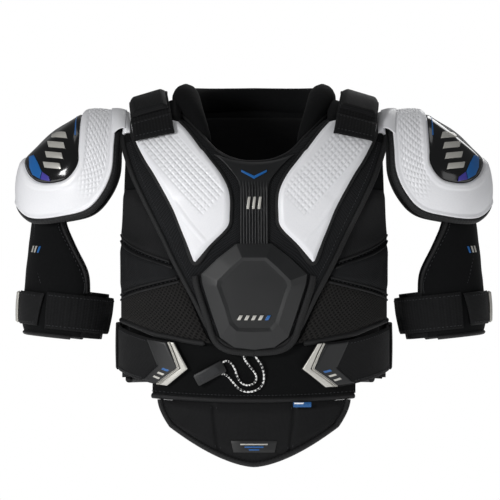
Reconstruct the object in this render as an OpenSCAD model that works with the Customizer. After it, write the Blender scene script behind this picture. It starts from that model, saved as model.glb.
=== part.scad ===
// Ice hockey shoulder pads, as worn: chest and back shells, shoulder caps, arm guards,
// belly straps and a removable extension pad.
// The wearer faces -Y. The origin is the centre of the neck opening at the height of the shoulder seat.
// "left" and "right" are the wearer's, so left is +X.

/* [Torso] */
// Half width of the space for the wearer's chest
torso_half_w = 153; // [146:1:158]
// Half depth of the space for the wearer's chest
torso_half_d = 116; // [108:1:122]
// Thickness of the foam liners
liner_t = 7; // [6:1:8]
// Height of the shoulder crest beside the neck
crest_z = 30; // [26:1:32]

/* [Shoulder caps] */
// Half width of a cap's dome, side to side
cap_rx = 98; // [94:1:100]
// Half depth of a cap's dome, front to back
cap_ry = 86; // [82:1:90]
// Height of a cap's dome above its centre
cap_rz = 99; // [95:1:101]

/* [Arm guards] */
// Radius of the space for the wearer's arm
arm_r = 42; // [39:1:43]
// Lean of the hanging arm away from the body, in degrees
arm_lean = 6; // [5:1:7]

/* [Straps and cord] */
// Height of the belly strap bands
belly_strap_h = 56; // [50:1:58]
// Width of the shoulder straps
shoulder_strap_w = 46; // [40:1:48]
// Diameter of the drawcord
cord_d = 2.4; // [2:0.2:2.6]

/* [Hidden] */

squareness = 2.6;     // exponent of the torso's oval
arch_z = -110;        // height where the chest starts to curve over the shoulder
crest_slope = 0.3;    // fall of the shoulder away from the neck
crest_from = 60;      // where that fall begins
shoulder_flare = 47;  // extra half width at the shoulders
waist_in = 10;        // how much the depth draws in at the waist
probe = 0.5;          // step used to find a surface's direction
layer_gap = 2;        // air between one layer and the next

black = "#17181a";
soft_black = "#222326";
mesh_black = "#2b2a28";
white = "#eceef2";
silver = "#c9c9c6";
blue = "#2b62b8";

// ---------- small maths ----------
function lerp(a, b, t) = a + (b - a) * t;
function unit(v) = v / norm(v);
function clamp01(t) = max(0, min(1, t));
function smooth(t) = let(c = clamp01(t)) c * c * (3 - 2 * c);
function closer_at_end(t) = 1 - pow(1 - t, 1.4);

// A smooth curve through the points p, for t from 0 to 1
function through(p, t) =
    let(n = len(p) - 1, k = min(n - 1, max(0, floor(t * n))), f = t * n - k,
        a = p[max(0, k - 1)], b = p[k], c = p[k + 1], d = p[min(n, k + 2)])
    ((2 * b) + (c - a) * f + (2 * a - 5 * b + 4 * c - d) * f * f
        + (3 * b - a - 3 * c + d) * f * f * f) / 2;

// The same through a closed ring of points
function around(p, t) =
    let(n = len(p), s = (t - floor(t)) * n, k = floor(s) % n, f = s - floor(s),
        a = p[(k + n - 1) % n], b = p[k], c = p[(k + 1) % n], d = p[(k + 2) % n])
    ((2 * b) + (c - a) * f + (2 * a - 5 * b + 4 * c - d) * f * f
        + (3 * b - a - 3 * c + d) * f * f * f) / 2;

// ---------- solids from grids of points ----------
// A sheet between an outer and an inner grid. Rows run away from the first edge, and the outer side is
// the one that columns x rows point to. With ring the last column joins the first.
module sheet(outer, inner, ring = false) {
    r = len(outer);
    c = len(outer[0]);
    last = ring ? c : c - 1;
    function o(i, j) = i * c + j % c;
    function n(i, j) = r * c + i * c + j % c;
    polyhedron(
        points = concat([for (row = outer) each row], [for (row = inner) each row]),
        faces = concat(
            [for (i = [0:r - 2], j = [0:last - 1]) each [
                [o(i, j), o(i + 1, j), o(i + 1, j + 1)], [o(i, j), o(i + 1, j + 1), o(i, j + 1)],
                [n(i, j), n(i + 1, j + 1), n(i + 1, j)], [n(i, j), n(i, j + 1), n(i + 1, j + 1)]]],
            [for (j = [0:last - 1]) each [
                [o(0, j), o(0, j + 1), n(0, j + 1)], [o(0, j), n(0, j + 1), n(0, j)],
                [o(r - 1, j), n(r - 1, j + 1), o(r - 1, j + 1)], [o(r - 1, j), n(r - 1, j), n(r - 1, j + 1)]]],
            ring ? [] : [for (i = [0:r - 2]) each [
                [o(i, 0), n(i + 1, 0), o(i + 1, 0)], [o(i, 0), n(i, 0), n(i + 1, 0)],
                [o(i, c - 1), o(i + 1, c - 1), n(i + 1, c - 1)], [o(i, c - 1), n(i + 1, c - 1), n(i, c - 1)]]]),
        convexity = 10);
}

// A closed tube through rings of points, capped at both ends
module tube(rings) {
    r = len(rings);
    c = len(rings[0]);
    function id(i, j) = i * c + j % c;
    polyhedron(
        points = [for (row = rings) each row],
        faces = concat(
            [for (i = [0:r - 2], j = [0:c - 1]) each [
                [id(i, j), id(i + 1, j), id(i + 1, j + 1)], [id(i, j), id(i + 1, j + 1), id(i, j + 1)]]],
            [for (j = [1:c - 2]) each [
                [id(0, 0), id(0, j), id(0, j + 1)], [id(r - 1, 0), id(r - 1, j + 1), id(r - 1, j)]]]),
        convexity = 10);
}

module on_side(side) {
    if (side == "left") children();
    else mirror([1, 0, 0]) children();
}

// ---------- the torso's surface ----------
// A place on it is x and a station s: below 0 the distance under arch_z down the front, from 0 to 180
// the angle over the shoulder, and above 180 the distance down the back.
function half_w(z) = torso_half_w + shoulder_flare * smooth((z + 130) / 90);
function half_d(z) = torso_half_d - waist_in * smooth((-z - 180) / 160);
function oval(x, z) = pow(max(0, 1 - pow(abs(x) / half_w(z), squareness)), 1 / squareness);
function crest(x) = crest_z - crest_slope * max(0, abs(x) - crest_from);
function station(x, z) = z < arch_z ? z - arch_z : asin(min(1, (z - arch_z) / (crest(x) - arch_z)));
function skin(x, s) =
    let(z = s < 0 ? arch_z + s : s > 180 ? arch_z - (s - 180) : arch_z + (crest(x) - arch_z) * sin(s),
        lean = s < 0 ? 1 : s > 180 ? -1 : cos(s))
    [x, -half_d(z) * oval(x, z) * lean, z];
function skin_out(x, s) =
    unit(cross(skin(x + probe, s) - skin(x - probe, s), skin(x, s + probe) - skin(x, s - probe)));
function on_skin(x, s, off) = skin(x, s) + off * skin_out(x, s);

// A sheet on the torso: place(u, v) gives [x, station] for u across and v along, each from 0 to 1
module torso_sheet(place, off_in, off_out, nu, nv) {
    grid = [for (j = [0:nv]) [for (i = [0:nu]) place(i / nu, j / nv)]];
    sheet([for (row = grid) [for (p = row) on_skin(p.x, p.y, off_out)]],
          [for (row = grid) [for (p = row) on_skin(p.x, p.y, off_in)]]);
}

// A point of the torso's oval at angle a from the front's middle towards the left, and height z
function power(t, e) = sign(t) * pow(abs(t), e);
function ring_point(a, z, off) =
    let(w = torso_half_w, d = half_d(z), e = 2 / squareness,
        x = w * power(sin(a), e), y = -d * power(cos(a), e),
        out = unit([power(x / w, squareness - 1) / w, power(y / d, squareness - 1) / d, 0]))
    [x, y, z] + off * out;

// Half outlines of the front, as [distance from the middle, height]
bib_edge = [[44, -250], [53, -237], [67, -205], [80, -179], [93, -152], [110, -112],
            [126, -82], [140, -56], [150, -30], [155, -6]];
plate_outer = [[69, -154], [78, -129], [87, -105], [96, -87], [105, -72], [114, -58],
               [126, -42], [138, -20], [142, -6]];
plate_inner = [[65, -155], [49, -137], [31, -117], [28, -101], [29, -79], [38, -59],
               [56, -38], [76, -13], [93, 3]];
neck_line = [[0, -42], [20, -40], [40, -32], [54, -20], [66, -6], [80, 7], [95, 17]];
function neck_z(x) = lookup(abs(x), neck_line);
function vest_bottom_z(x) = lookup(abs(x), [[0, -262], [40, -257], [76, -252], [113, -244], [152, -228]]);
function rails(a, b, u, v) = let(p = lerp(through(a, v), through(b, v), u)) [p.x, station(p.x, p.y)];

// ---------- chest ----------
liner_edge = 151;
crest_stop = 78;      // the front and back liners end this angle up their sides of the crest
neck_side = 97;       // inner edge of the liner over the shoulder
function liner_top(x) = abs(x) < neck_side ? station(x, neck_z(x)) : crest_stop;

module chest_liner() {
    color(black)
    torso_sheet(function (u, v)
        let(x = liner_edge * sin(180 * u - 90), low = station(x, vest_bottom_z(x)))
        [x, lerp(low, min(liner_top(x), crest_stop), closer_at_end(v))], 0, liner_t, 22, 14);
}

bib_in = liner_t + layer_gap;
bib_out = bib_in + 4;
module bib_pad() {
    color(soft_black)
    torso_sheet(function (u, v)
        let(edge = through(bib_edge, v), w = 2 * u - 1, x = w * edge.x,
            middle = lerp(-260, neck_z(x) - 3, v),
            z = lerp(middle, edge.y, pow(abs(w), 3)))
        [x, station(x, z)], bib_in, bib_out, 18, 13);
}

plate_in = bib_out + layer_gap;
plate_out = plate_in + 4;
module chest_plate(side) {
    color(white)
    on_side(side)
    torso_sheet(function (u, v) rails(plate_inner, plate_outer, u, v), plate_in, plate_out, 8, 14);
}

rib_edge = [[16, -134], [16, -110], [16, -85], [19, -68], [30, -54], [44, -42]];
module rib_panel() {
    color(soft_black)
    torso_sheet(function (u, v)
        let(edge = through(rib_edge, v), w = 2 * u - 1, x = w * edge.x,
            z = lerp(lerp(-134, -48, v), edge.y, w * w))
        [x, station(x, z)], plate_in, plate_out, 8, 10);
}

shield_edge = [[10, -260], [38, -246], [50, -215], [61, -175], [42, -156], [22, -140]];
shield_t = 12;
module sternum_shield() {
    color(soft_black)
    torso_sheet(function (u, v)
        let(edge = through(shield_edge, v), w = 2 * u - 1, x = w * edge.x)
        [x, station(x, lerp(lerp(-260, -140, v), edge.y, w * w))], plate_in, plate_in + shield_t, 8, 12);
}

// Foam pad over the ribs beside the bib, and the mesh panel below it
side_gap = 4;
function side_x(u, z) =
    let(low = lookup(z, [for (p = bib_edge) [p.y, p.x]]) + side_gap) lerp(low, liner_edge - 3, sin(90 * u));
module side_pad(side) {
    color(mesh_black)
    on_side(side)
    torso_sheet(function (u, v)
        let(z = lerp(lerp(-172, -150, u), -70, v), x = side_x(u, z)) [x, station(x, z)], bib_in, bib_in + 4, 8, 8);
}
module side_mesh(side) {
    color(mesh_black)
    on_side(side)
    torso_sheet(function (u, v)
        let(top = lerp(-177, -155, u), x = side_x(u, lerp(-240, top, v)),
            z = lerp(vest_bottom_z(x) + 3, top, v)) [x, station(x, z)], bib_in, bib_in + 3, 8, 6);
}

belly_edge = 118;
belly_low = -314;
module belly_panel() {
    color(black)
    torso_sheet(function (u, v)
        let(x = lerp(-belly_edge, belly_edge, u)) [x, station(x, lerp(belly_low, vest_bottom_z(x) - 3, v))],
        0, 6, 12, 5);
}
module belly_binding() {
    color(soft_black)
    torso_sheet(function (u, v)
        let(x = lerp(-belly_edge, belly_edge, u)) [x, station(x, lerp(belly_low - 7, belly_low - 1, v))],
        0, 7, 12, 1);
}

// Padded roll beside the neck: rings of an oval along a path, each [x, y, z, half width, half height]
function roll_rings(path, steps, sides) =
    [for (k = [0:steps])
        let(t = k / steps, p = through(path, t), q = through(path, min(1, t + 0.01)) - through(path, max(0, t - 0.01)),
            along = unit([q[0], q[1], q[2]]), across = unit(cross(along, [0, 0, 1])), up = cross(across, along))
        [for (j = [0:sides - 1])
            let(a = -360 * j / sides)
            [p[0], p[1], p[2]] + across * p[3] * cos(a) + up * p[4] * sin(a)]];

collar_path = [[52, -86, -20, 4, 4], [60, -80, -4, 9, 8], [71, -58, 18, 13, 13],
               [80, -28, 33, 14, 17], [84, -4, 38, 13, 18]];
collar_back_path = [[84, 5, 38, 13, 18], [79, 34, 37, 13, 18], [52, 66, 36, 13, 19], [0, 80, 36, 13, 20],
                    [-52, 66, 36, 13, 19], [-79, 34, 37, 13, 18], [-84, 5, 38, 13, 18]];
module collar_pad(side) {
    color(black)
    on_side(side) tube(roll_rings(collar_path, 12, 14));
}
module collar_back() {
    color(black) tube(roll_rings(collar_back_path, 22, 12));
}

// White moulded arch beside the cap, and the strap that runs over the shoulder
module shoulder_arch(side) {
    color(white)
    on_side(side)
    torso_sheet(function (u, v) [lerp(142.6, 151, u), lerp(58, 86, v)], liner_t + 9, liner_t + 14, 4, 6);
}
strap_in = plate_out + layer_gap;
strap_x = 119;        // middle of the shoulder strap at the crest
strap_lean = 0.32;    // how far it runs inwards for each millimetre that it comes down
function strap_place(u, s) =
    let(x = strap_x - strap_lean * (crest(strap_x) - skin(strap_x, s).z) * 0.6 + (u - 0.5) * shoulder_strap_w) [x, s];
module shoulder_strap(side) {
    color(black)
    on_side(side)
    torso_sheet(function (u, v) strap_place(u, lerp(60, 88, v)), strap_in, strap_in + 5, 6, 8);
}
module strap_flap(side) {
    color(soft_black)
    on_side(side)
    torso_sheet(function (u, v) strap_place(u, lerp(44, 57.5, v)), strap_in, strap_in + 4, 6, 5);
}

// ---------- drawcord ----------
eyelet_at = [[-12, -117, -268], [1.5, -117, -268]];
module cord_eyelets() {
    color(silver)
    for (p = eyelet_at) translate(p) rotate([90, 0, 0]) difference() {
        cylinder(h = 1.6, r = 4, $fn = 32);
        translate([0, 0, -1]) cylinder(h = 4, r = cord_d / 2 + 0.6, $fn = 32);
    }
}
cord_route = [
    [-12, -117, -268], [-12, -121, -268.5], [-11.5, -124, -272], [-9, -123, -277], [-4.5, -120.5, -282.5],
    [0, -118.5, -288], [2.5, -118, -294], [1, -117.5, -300.5], [-4.5, -117, -304], [-11, -117, -303.5],
    [-16.5, -117, -299.5], [-20.5, -117.5, -292.5], [-23, -118, -284.5], [-27, -118, -278], [-32.5, -117.5, -275.5],
    [-37.5, -117, -277.5], [-41.5, -117, -281], [-43, -117, -286], [-40, -117, -290],
    [-35, -117, -291.5], [-30, -117, -294.5], [-25.5, -116.5, -300], [-20.5, -116.5, -306],
    [-14, -116, -310.5], [-6, -116, -312], [2, -116, -310.5], [8.5, -116.5, -305.5], [11.5, -117.5, -297.5],
    [11.5, -119, -289], [9, -121.5, -281], [4.5, -124, -274.5], [1.5, -122, -268.8], [1.5, -117, -268]
];
module drawcord() {
    color(silver)
    tube(roll_rings([for (p = cord_route) [p.x, p.y, p.z, cord_d / 2, cord_d / 2]], 64, 8));
}
tab_angle = 28;
module pull_tab() {
    color(soft_black)
    translate([-54, -119.8, -291]) rotate([0, -tab_angle, 0]) translate([-17, 0, -7.5]) difference() {
        cube([38, 5.4, 15]);
        translate([19, 1.1, 2]) cube([20, 3.2, 11]);
    }
}
module side_label() {
    color(blue)
    torso_sheet(function (u, v) [lerp(42, 62, u), station(50, lerp(-330, -320, v))], 14, 15.2, 3, 2);
}

// ---------- back ----------
back_low = -300;
module back_liner() {
    color(black)
    torso_sheet(function (u, v)
        let(x = liner_edge * sin(180 * u - 90), top = abs(x) < neck_side ? 180 - station(x, lookup(abs(x),
            [[0, 8], [40, 10], [70, 14], [95, 18]])) : 180 - crest_stop)
        [x, lerp(top, 180 + (arch_z - back_low), 1 - closer_at_end(1 - v))], 0, liner_t, 22, 15);
}
back_outer = [[104, 8], [122, -10], [132, -40], [130, -75], [112, -110], [84, -140]];
back_inner = [[74, 2], [58, -20], [44, -48], [38, -80], [40, -110], [54, -140]];
module back_plate(side) {
    color(white)
    on_side(side)
    torso_sheet(function (u, v) let(p = rails(back_inner, back_outer, u, v)) [p.x, 180 - p.y],
        bib_in, bib_in + 5, 8, 10);
}
spine_edge = [[26, -2], [27, -50], [28, -100], [34, -150], [40, -200], [34, -250], [20, -286]];
module spine_guard() {
    color(soft_black)
    torso_sheet(function (u, v)
        let(edge = through(spine_edge, v), x = (2 * u - 1) * edge.x) [x, 180 - station(x, edge.y)],
        bib_in, bib_in + 9, 8, 14);
}
loop_at = [0, 93.6, 30];
module hang_loop() {
    color(soft_black)
    translate(loop_at) difference() {
        cylinder(h = 10, r = 18, $fn = 48);
        translate([0, 0, -1]) cylinder(h = 12, r = 16, $fn = 48);
        translate([-20, -40, -1]) cube([40, 40, 12]);
    }
}

// ---------- belly straps ----------
strap_off = 9;
band_from = 158;      // angle on the torso's oval where the side band leaves the back
band_to = 80;
strap_from = 76;      // angle where the strap's free part starts
strap_apex = 18;      // angle of the free end's point, and of its corners
strap_corner = 26;
strap_uneven = 4;     // how much further the left strap reaches, and the right one less
function strap_end(v, side) = lookup(v, [[0, strap_corner + 3], [0.43, strap_apex], [1, strap_corner - 1]])
    + (side == "left" ? -strap_uneven : strap_uneven);
function strap_mid_z(a) = lerp(-281, -258, smooth((a - 20) / 75));
function strap_point(a, v, off) = ring_point(a, strap_mid_z(a) + (v - 0.5) * belly_strap_h, off);
module ring_sheet(place, off_in, off_out, nu, nv) {
    grid = [for (j = [0:nv]) [for (i = [0:nu]) place(i / nu, j / nv)]];
    sheet([for (row = grid) [for (p = row) strap_point(p.x, p.y, off_out)]],
          [for (row = grid) [for (p = row) strap_point(p.x, p.y, off_in)]]);
}
module side_band(side) {
    color(black)
    on_side(side)
    ring_sheet(function (u, v) [lerp(band_to, band_from, u), v], strap_off, strap_off + 5, 14, 4);
}
module belly_strap(side) {
    color(black)
    on_side(side)
    ring_sheet(function (u, v) [lerp(strap_end(v, side), strap_from, u), v], strap_off, strap_off + 5, 12, 6);
}
module strap_trim(side) {
    color(silver)
    on_side(side)
    ring_sheet(function (u, v) [strap_end(v, side) + 4.5 * u, v], strap_off + 6.2, strap_off + 8, 2, 8);
}

// ---------- shoulder caps ----------
// A cap is a dome about cap_at. Directions are on a unit ball that is then stretched to the dome.
cap_at = [190, 0, -72];
cap_pole = unit([0.611, 0, 0.79]);
cap_flat = 0.1;     // how much the dome is flattened under the inset
rim_front = [[0.985, 0, -0.17], [0.796, -0.498, -0.343], [0.398, -0.858, -0.323], [0.09, -0.966, -0.24],
             [-0.1, -0.994, -0.04], [-0.214, -0.951, 0.222], [-0.24, -0.8, 0.55], [-0.26, -0.42, 0.87],
             [-0.275, 0, 0.961]];
inset_front = [[0.9, 0, 0.435], [0.816, -0.552, 0.172], [0.633, -0.77, 0.081], [0.367, -0.922, 0.121],
               [0.214, -0.929, 0.303], [0.2, -0.84, 0.5], [0.192, -0.68, 0.71], [0.18, -0.4, 0.9],
               [0.166, 0, 0.986]];
function both_halves(p) = concat(p, [for (k = [len(p) - 2:-1:1]) [p[k].x, -p[k].y, p[k].z]]);
rim = both_halves(rim_front);
inset = both_halves(inset_front);
function cap_point(dir, off) =
    let(d = unit(dir), flat = 1 - cap_flat * smooth((d * cap_pole - 0.8) / 0.2),
        out = unit([d.x / cap_rx, d.y / cap_ry, d.z / cap_rz]))
    cap_at + [d.x * cap_rx, d.y * cap_ry, d.z * cap_rz] * flat + off * out;
// w runs from 0 at the pole to 1 at the inset's edge and 2 at the rim
function cap_dir(t, w) = w <= 1 ? lerp(cap_pole, unit(around(inset, t)), w)
    : lerp(unit(around(inset, t)), unit(around(rim, t)), w - 1);
cap_sides = 40;
module cap_sheet(w_from, w_to, off_in, off_out, steps) {
    sheet([for (i = [0:steps]) [for (j = [0:cap_sides - 1])
              cap_point(cap_dir(-j / cap_sides, lerp(w_to, w_from, i / steps)), off_out)]],
          [for (i = [0:steps]) [for (j = [0:cap_sides - 1])
              cap_point(cap_dir(-j / cap_sides, lerp(w_to, w_from, i / steps)), off_in)]], ring = true);
}
module cap_shell(side) { color(white) on_side(side) cap_sheet(1, 2, -4, 0, 6); }
module cap_binding(side) { color(black) on_side(side) cap_sheet(2.02, 2.1, -8, -1, 1); }
// A cap over the pole: rings of points closed by one point on each side
module cap_dish(w_to, off_in, off_out, steps) {
    c = cap_sides;
    rows = [for (i = [0:steps - 1]) lerp(w_to, 0, i / steps)];
    points = concat([for (w = rows, j = [0:c - 1]) cap_point(cap_dir(-j / c, w), off_out)],
        [for (w = rows, j = [0:c - 1]) cap_point(cap_dir(-j / c, w), off_in)],
        [cap_point(cap_pole, off_out), cap_point(cap_pole, off_in)]);
    function o(i, j) = i * c + j % c;
    function n(i, j) = steps * c + i * c + j % c;
    top = 2 * steps * c;
    polyhedron(points = points, faces = concat(
        [for (i = [0:steps - 2], j = [0:c - 1]) each [
            [o(i, j), o(i + 1, j), o(i + 1, j + 1)], [o(i, j), o(i + 1, j + 1), o(i, j + 1)],
            [n(i, j), n(i + 1, j + 1), n(i + 1, j)], [n(i, j), n(i, j + 1), n(i + 1, j + 1)]]],
        [for (j = [0:c - 1]) each [
            [o(0, j), o(0, j + 1), n(0, j + 1)], [o(0, j), n(0, j + 1), n(0, j)],
            [o(steps - 1, j), top, o(steps - 1, j + 1)], [n(steps - 1, j), n(steps - 1, j + 1), top + 1]]]),
        convexity = 10);
}
module cap_inset(side) { color(black) on_side(side) cap_dish(0.96, -4, -1, 5); }
module cap_liner(side) { color(black) on_side(side) cap_dish(1.98, -12, -5.6, 6); }

// ---------- arm guards ----------
// A place on the arm is the angle from its outer side towards the front, and the distance down it
arm_at = [210, 0, -60];
function arm_round(h) = arm_r + 2 * smooth(h / 90) - 4 * smooth((h - 150) / 50);
function arm_point(a, h, off) =
    let(r = arm_round(h) + off, p = [r * cos(a), -r * sin(a), -h])
    arm_at + [p.x * cos(arm_lean) - p.z * sin(arm_lean), p.y, p.z * cos(arm_lean) + p.x * sin(arm_lean)];
module arm_sheet(place, off_in, off_out, nu, nv) {
    grid = [for (j = [0:nv]) [for (i = [0:nu]) place(i / nu, j / nv)]];
    sheet([for (row = grid) [for (p = row) arm_point(p.x, p.y, off_out)]],
          [for (row = grid) [for (p = row) arm_point(p.x, p.y, off_in)]]);
}
pad_top = 30;
pad_low = 188;
cuff_top = 132;
function pad_reach(h) = lerp(70, 118, smooth((h - 40) / 90));
module arm_pad(side) {
    color(black)
    on_side(side)
    arm_sheet(function (u, v) let(h = lerp(pad_top, pad_low, v)) [lerp(-pad_reach(h), pad_reach(h), u), h],
        0, 9, 16, 9);
}
module arm_cuff(side) {
    color(black)
    on_side(side)
    arm_sheet(function (u, v) [lerp(120, 240, u), lerp(cuff_top, pad_low, v)], 1, 6, 14, 4);
}
module arm_hanger(side) {
    color(black)
    on_side(side)
    arm_sheet(function (u, v) [lerp(-14, 14, u), lerp(0, pad_top - 1, v)], 2, 5, 4, 4);
}
band_top = 137;
band_low = 181;
module arm_band(side) {
    color(soft_black)
    on_side(side)
    arm_sheet(function (u, v) [lerp(66, 238, u), lerp(band_top, band_low, v)], 10, 12.5, 22, 4);
}
tab_from = 63;        // angle of the tab's stitched end
tip_at = 2;           // angle where the silver tip begins
module arm_tab(side) {
    color(soft_black)
    on_side(side)
    arm_sheet(function (u, v) [lerp(tip_at, tab_from - 8 * v, u), lerp(band_top + 2, band_low - 2, v)],
        10, 14, 8, 4);
}
module arm_tip(side) {
    color(silver)
    on_side(side)
    arm_sheet(function (u, v)
        let(point = 1 - abs(2 * v - 1)) [lerp(tip_at - 9 - 3 * point, tip_at - 1, u),
            lerp(band_top + 6, band_low - 8, v)], 10.6, 13.6, 3, 4);
}

// ---------- extension pad ----------
ext_top = -323;
function ext_low(u) = lookup(abs(u), [[0, -401], [0.26, -397], [0.46, -388], [0.7, -377], [0.85, -367], [1, -356]]);
function ext_half(v) = lerp(112, 99, pow(v, 1.6));
function ext_place(u, v, rim) =
    let(w = 2 * u - 1, x = w * (ext_half(v) - rim)) [x, station(x, lerp(ext_top, ext_low(w) + rim, v))];
module extension_pad() {
    color(black)
    torso_sheet(function (u, v) let(p = ext_place(u, 1 - v, 7)) p, 0, 9, 14, 8);
}
module extension_tongue() {
    color(mesh_black)
    torso_sheet(function (u, v) let(x = lerp(-60, 60, u)) [x, station(x, lerp(ext_top + 2, -284, v))],
        -4, -1, 8, 3);
}
module extension_binding() {
    color(soft_black) {
        for (m = [0, 1]) mirror([m, 0, 0])
        torso_sheet(function (u, v)
            let(a = ext_place(1, 1 - v, 6.4), b = ext_place(1, 1 - v, 0)) lerp(a, b, u), 1, 8, 1, 8);
        torso_sheet(function (u, v)
            let(a = ext_place(u, 1, 6.4), b = ext_place(u, 1, 0)) lerp(b, a, v), 1, 8, 14, 1);
    }
}
module extension_badge() {
    color(blue)
    torso_sheet(function (u, v) [lerp(-26, 26, u), station(0, lerp(-385, -369, v))], 9.8, 11, 4, 2);
}

chest_liner();
bib_pad();
rib_panel();
sternum_shield();
belly_panel();
belly_binding();
cord_eyelets();
drawcord();
pull_tab();
side_label();
back_liner();
spine_guard();
collar_back();
hang_loop();
extension_tongue();
extension_pad();
extension_binding();
extension_badge();
for (side = ["left", "right"]) {
    chest_plate(side);
    side_pad(side);
    side_mesh(side);
    collar_pad(side);
    shoulder_arch(side);
    shoulder_strap(side);
    strap_flap(side);
    back_plate(side);
    side_band(side);
    belly_strap(side);
    strap_trim(side);
    cap_shell(side);
    cap_inset(side);
    cap_liner(side);
    cap_binding(side);
    arm_pad(side);
    arm_cuff(side);
    arm_hanger(side);
    arm_band(side);
    arm_tab(side);
    arm_tip(side);
}
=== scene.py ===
"""Ice hockey shoulder pads: the visible pieces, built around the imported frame.

Shapes are worked out in millimetres and made in metres. The wearer faces -Y, and "left" is the
wearer's, at +X.
"""

import logging
import math
from dataclasses import dataclass
from enum import Enum
from typing import Callable, Iterable, Sequence

import bmesh
import bpy
from mathutils import Matrix, Vector, noise


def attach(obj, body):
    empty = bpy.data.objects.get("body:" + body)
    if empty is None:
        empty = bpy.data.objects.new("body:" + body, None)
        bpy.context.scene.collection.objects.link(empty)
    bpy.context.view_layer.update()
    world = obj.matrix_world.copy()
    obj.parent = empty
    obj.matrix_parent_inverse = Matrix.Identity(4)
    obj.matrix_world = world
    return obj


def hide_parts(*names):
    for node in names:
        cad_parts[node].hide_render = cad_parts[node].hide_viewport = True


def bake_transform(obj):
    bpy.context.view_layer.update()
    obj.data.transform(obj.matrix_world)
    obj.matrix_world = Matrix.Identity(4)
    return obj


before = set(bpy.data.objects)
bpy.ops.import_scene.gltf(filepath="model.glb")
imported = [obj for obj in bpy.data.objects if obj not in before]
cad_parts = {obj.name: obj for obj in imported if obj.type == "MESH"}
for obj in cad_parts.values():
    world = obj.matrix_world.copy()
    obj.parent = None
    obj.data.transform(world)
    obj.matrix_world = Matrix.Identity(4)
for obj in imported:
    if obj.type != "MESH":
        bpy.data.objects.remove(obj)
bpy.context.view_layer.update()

LOG = logging.getLogger("shoulder_pads")
MM = 0.001
Point = Sequence[float]
Place = Callable[[float, float], Vector]


# ---------------------------------------------------------------- small maths
def lerp(a: float, b: float, t: float) -> float:
    """Blend from a to b."""
    return a + (b - a) * t


def smooth(t: float) -> float:
    """An S-curve from 0 to 1."""
    t = min(1.0, max(0.0, t))
    return t * t * (3 - 2 * t)


def power(t: float, exponent: float) -> float:
    """A power that keeps the sign."""
    return math.copysign(abs(t) ** exponent, t)


def catmull(a: Vector, b: Vector, c: Vector, d: Vector, f: float) -> Vector:
    """The point a share f of the way from b to c on a smooth curve through all four."""
    return (2 * b + (c - a) * f + (2 * a - 5 * b + 4 * c - d) * f * f + (3 * b - a - 3 * c + d) * f ** 3) / 2


def through(points: Sequence[Point], t: float) -> Vector:
    """A smooth open curve through the points, for t from 0 to 1."""
    p = [Vector(q) for q in points]
    n = len(p) - 1
    k = min(n - 1, max(0, int(t * n)))
    return catmull(p[max(0, k - 1)], p[k], p[k + 1], p[min(n, k + 2)], t * n - k)


def around(points: Sequence[Point], t: float) -> Vector:
    """A smooth closed curve through the points, for t from 0 to 1."""
    p = [Vector(q) for q in points]
    n = len(p)
    s = (t % 1.0) * n
    k = int(s) % n
    return catmull(p[k - 1], p[k], p[(k + 1) % n], p[(k + 2) % n], s - int(s))


def lookup(value: float, table: Sequence[Point]) -> float:
    """Straight-line interpolation in a table of (key, value) with rising keys."""
    if value <= table[0][0]:
        return table[0][1]
    for (k0, v0), (k1, v1) in zip(table, table[1:]):
        if value <= k1:
            return lerp(v0, v1, (value - k0) / (k1 - k0))
    return table[-1][1]


def pillow(u: float, v: float, width: float, height: float, soft: float) -> float:
    """How full a pad is at (u, v): 0 on its border and 1 once soft millimetres inside it."""
    return smooth(min(u, 1 - u) * width / soft) ** 0.5 * smooth(min(v, 1 - v) * height / soft) ** 0.5


def groove(a: float, b: float, pitch: float, depth: float) -> float:
    """Depth at (a, b) of the grooves between diamonds that are pitch apart along a + b and a - b."""
    i, j = (a + b) / pitch, (a - b) / pitch
    return depth * (1 - smooth(min(abs(i - round(i)), abs(j - round(j))) / 0.3))


class Side(Enum):
    """The wearer's left or right, with the sign of its X."""

    LEFT = 1
    RIGHT = -1

    @property
    def word(self) -> str:
        """The side's name, as the CAD nodes have it."""
        return self.name.lower()

    def put(self, p: Vector) -> Vector:
        """A point of the left piece, on this side."""
        return Vector((p.x * self.value, p.y, p.z))


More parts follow.
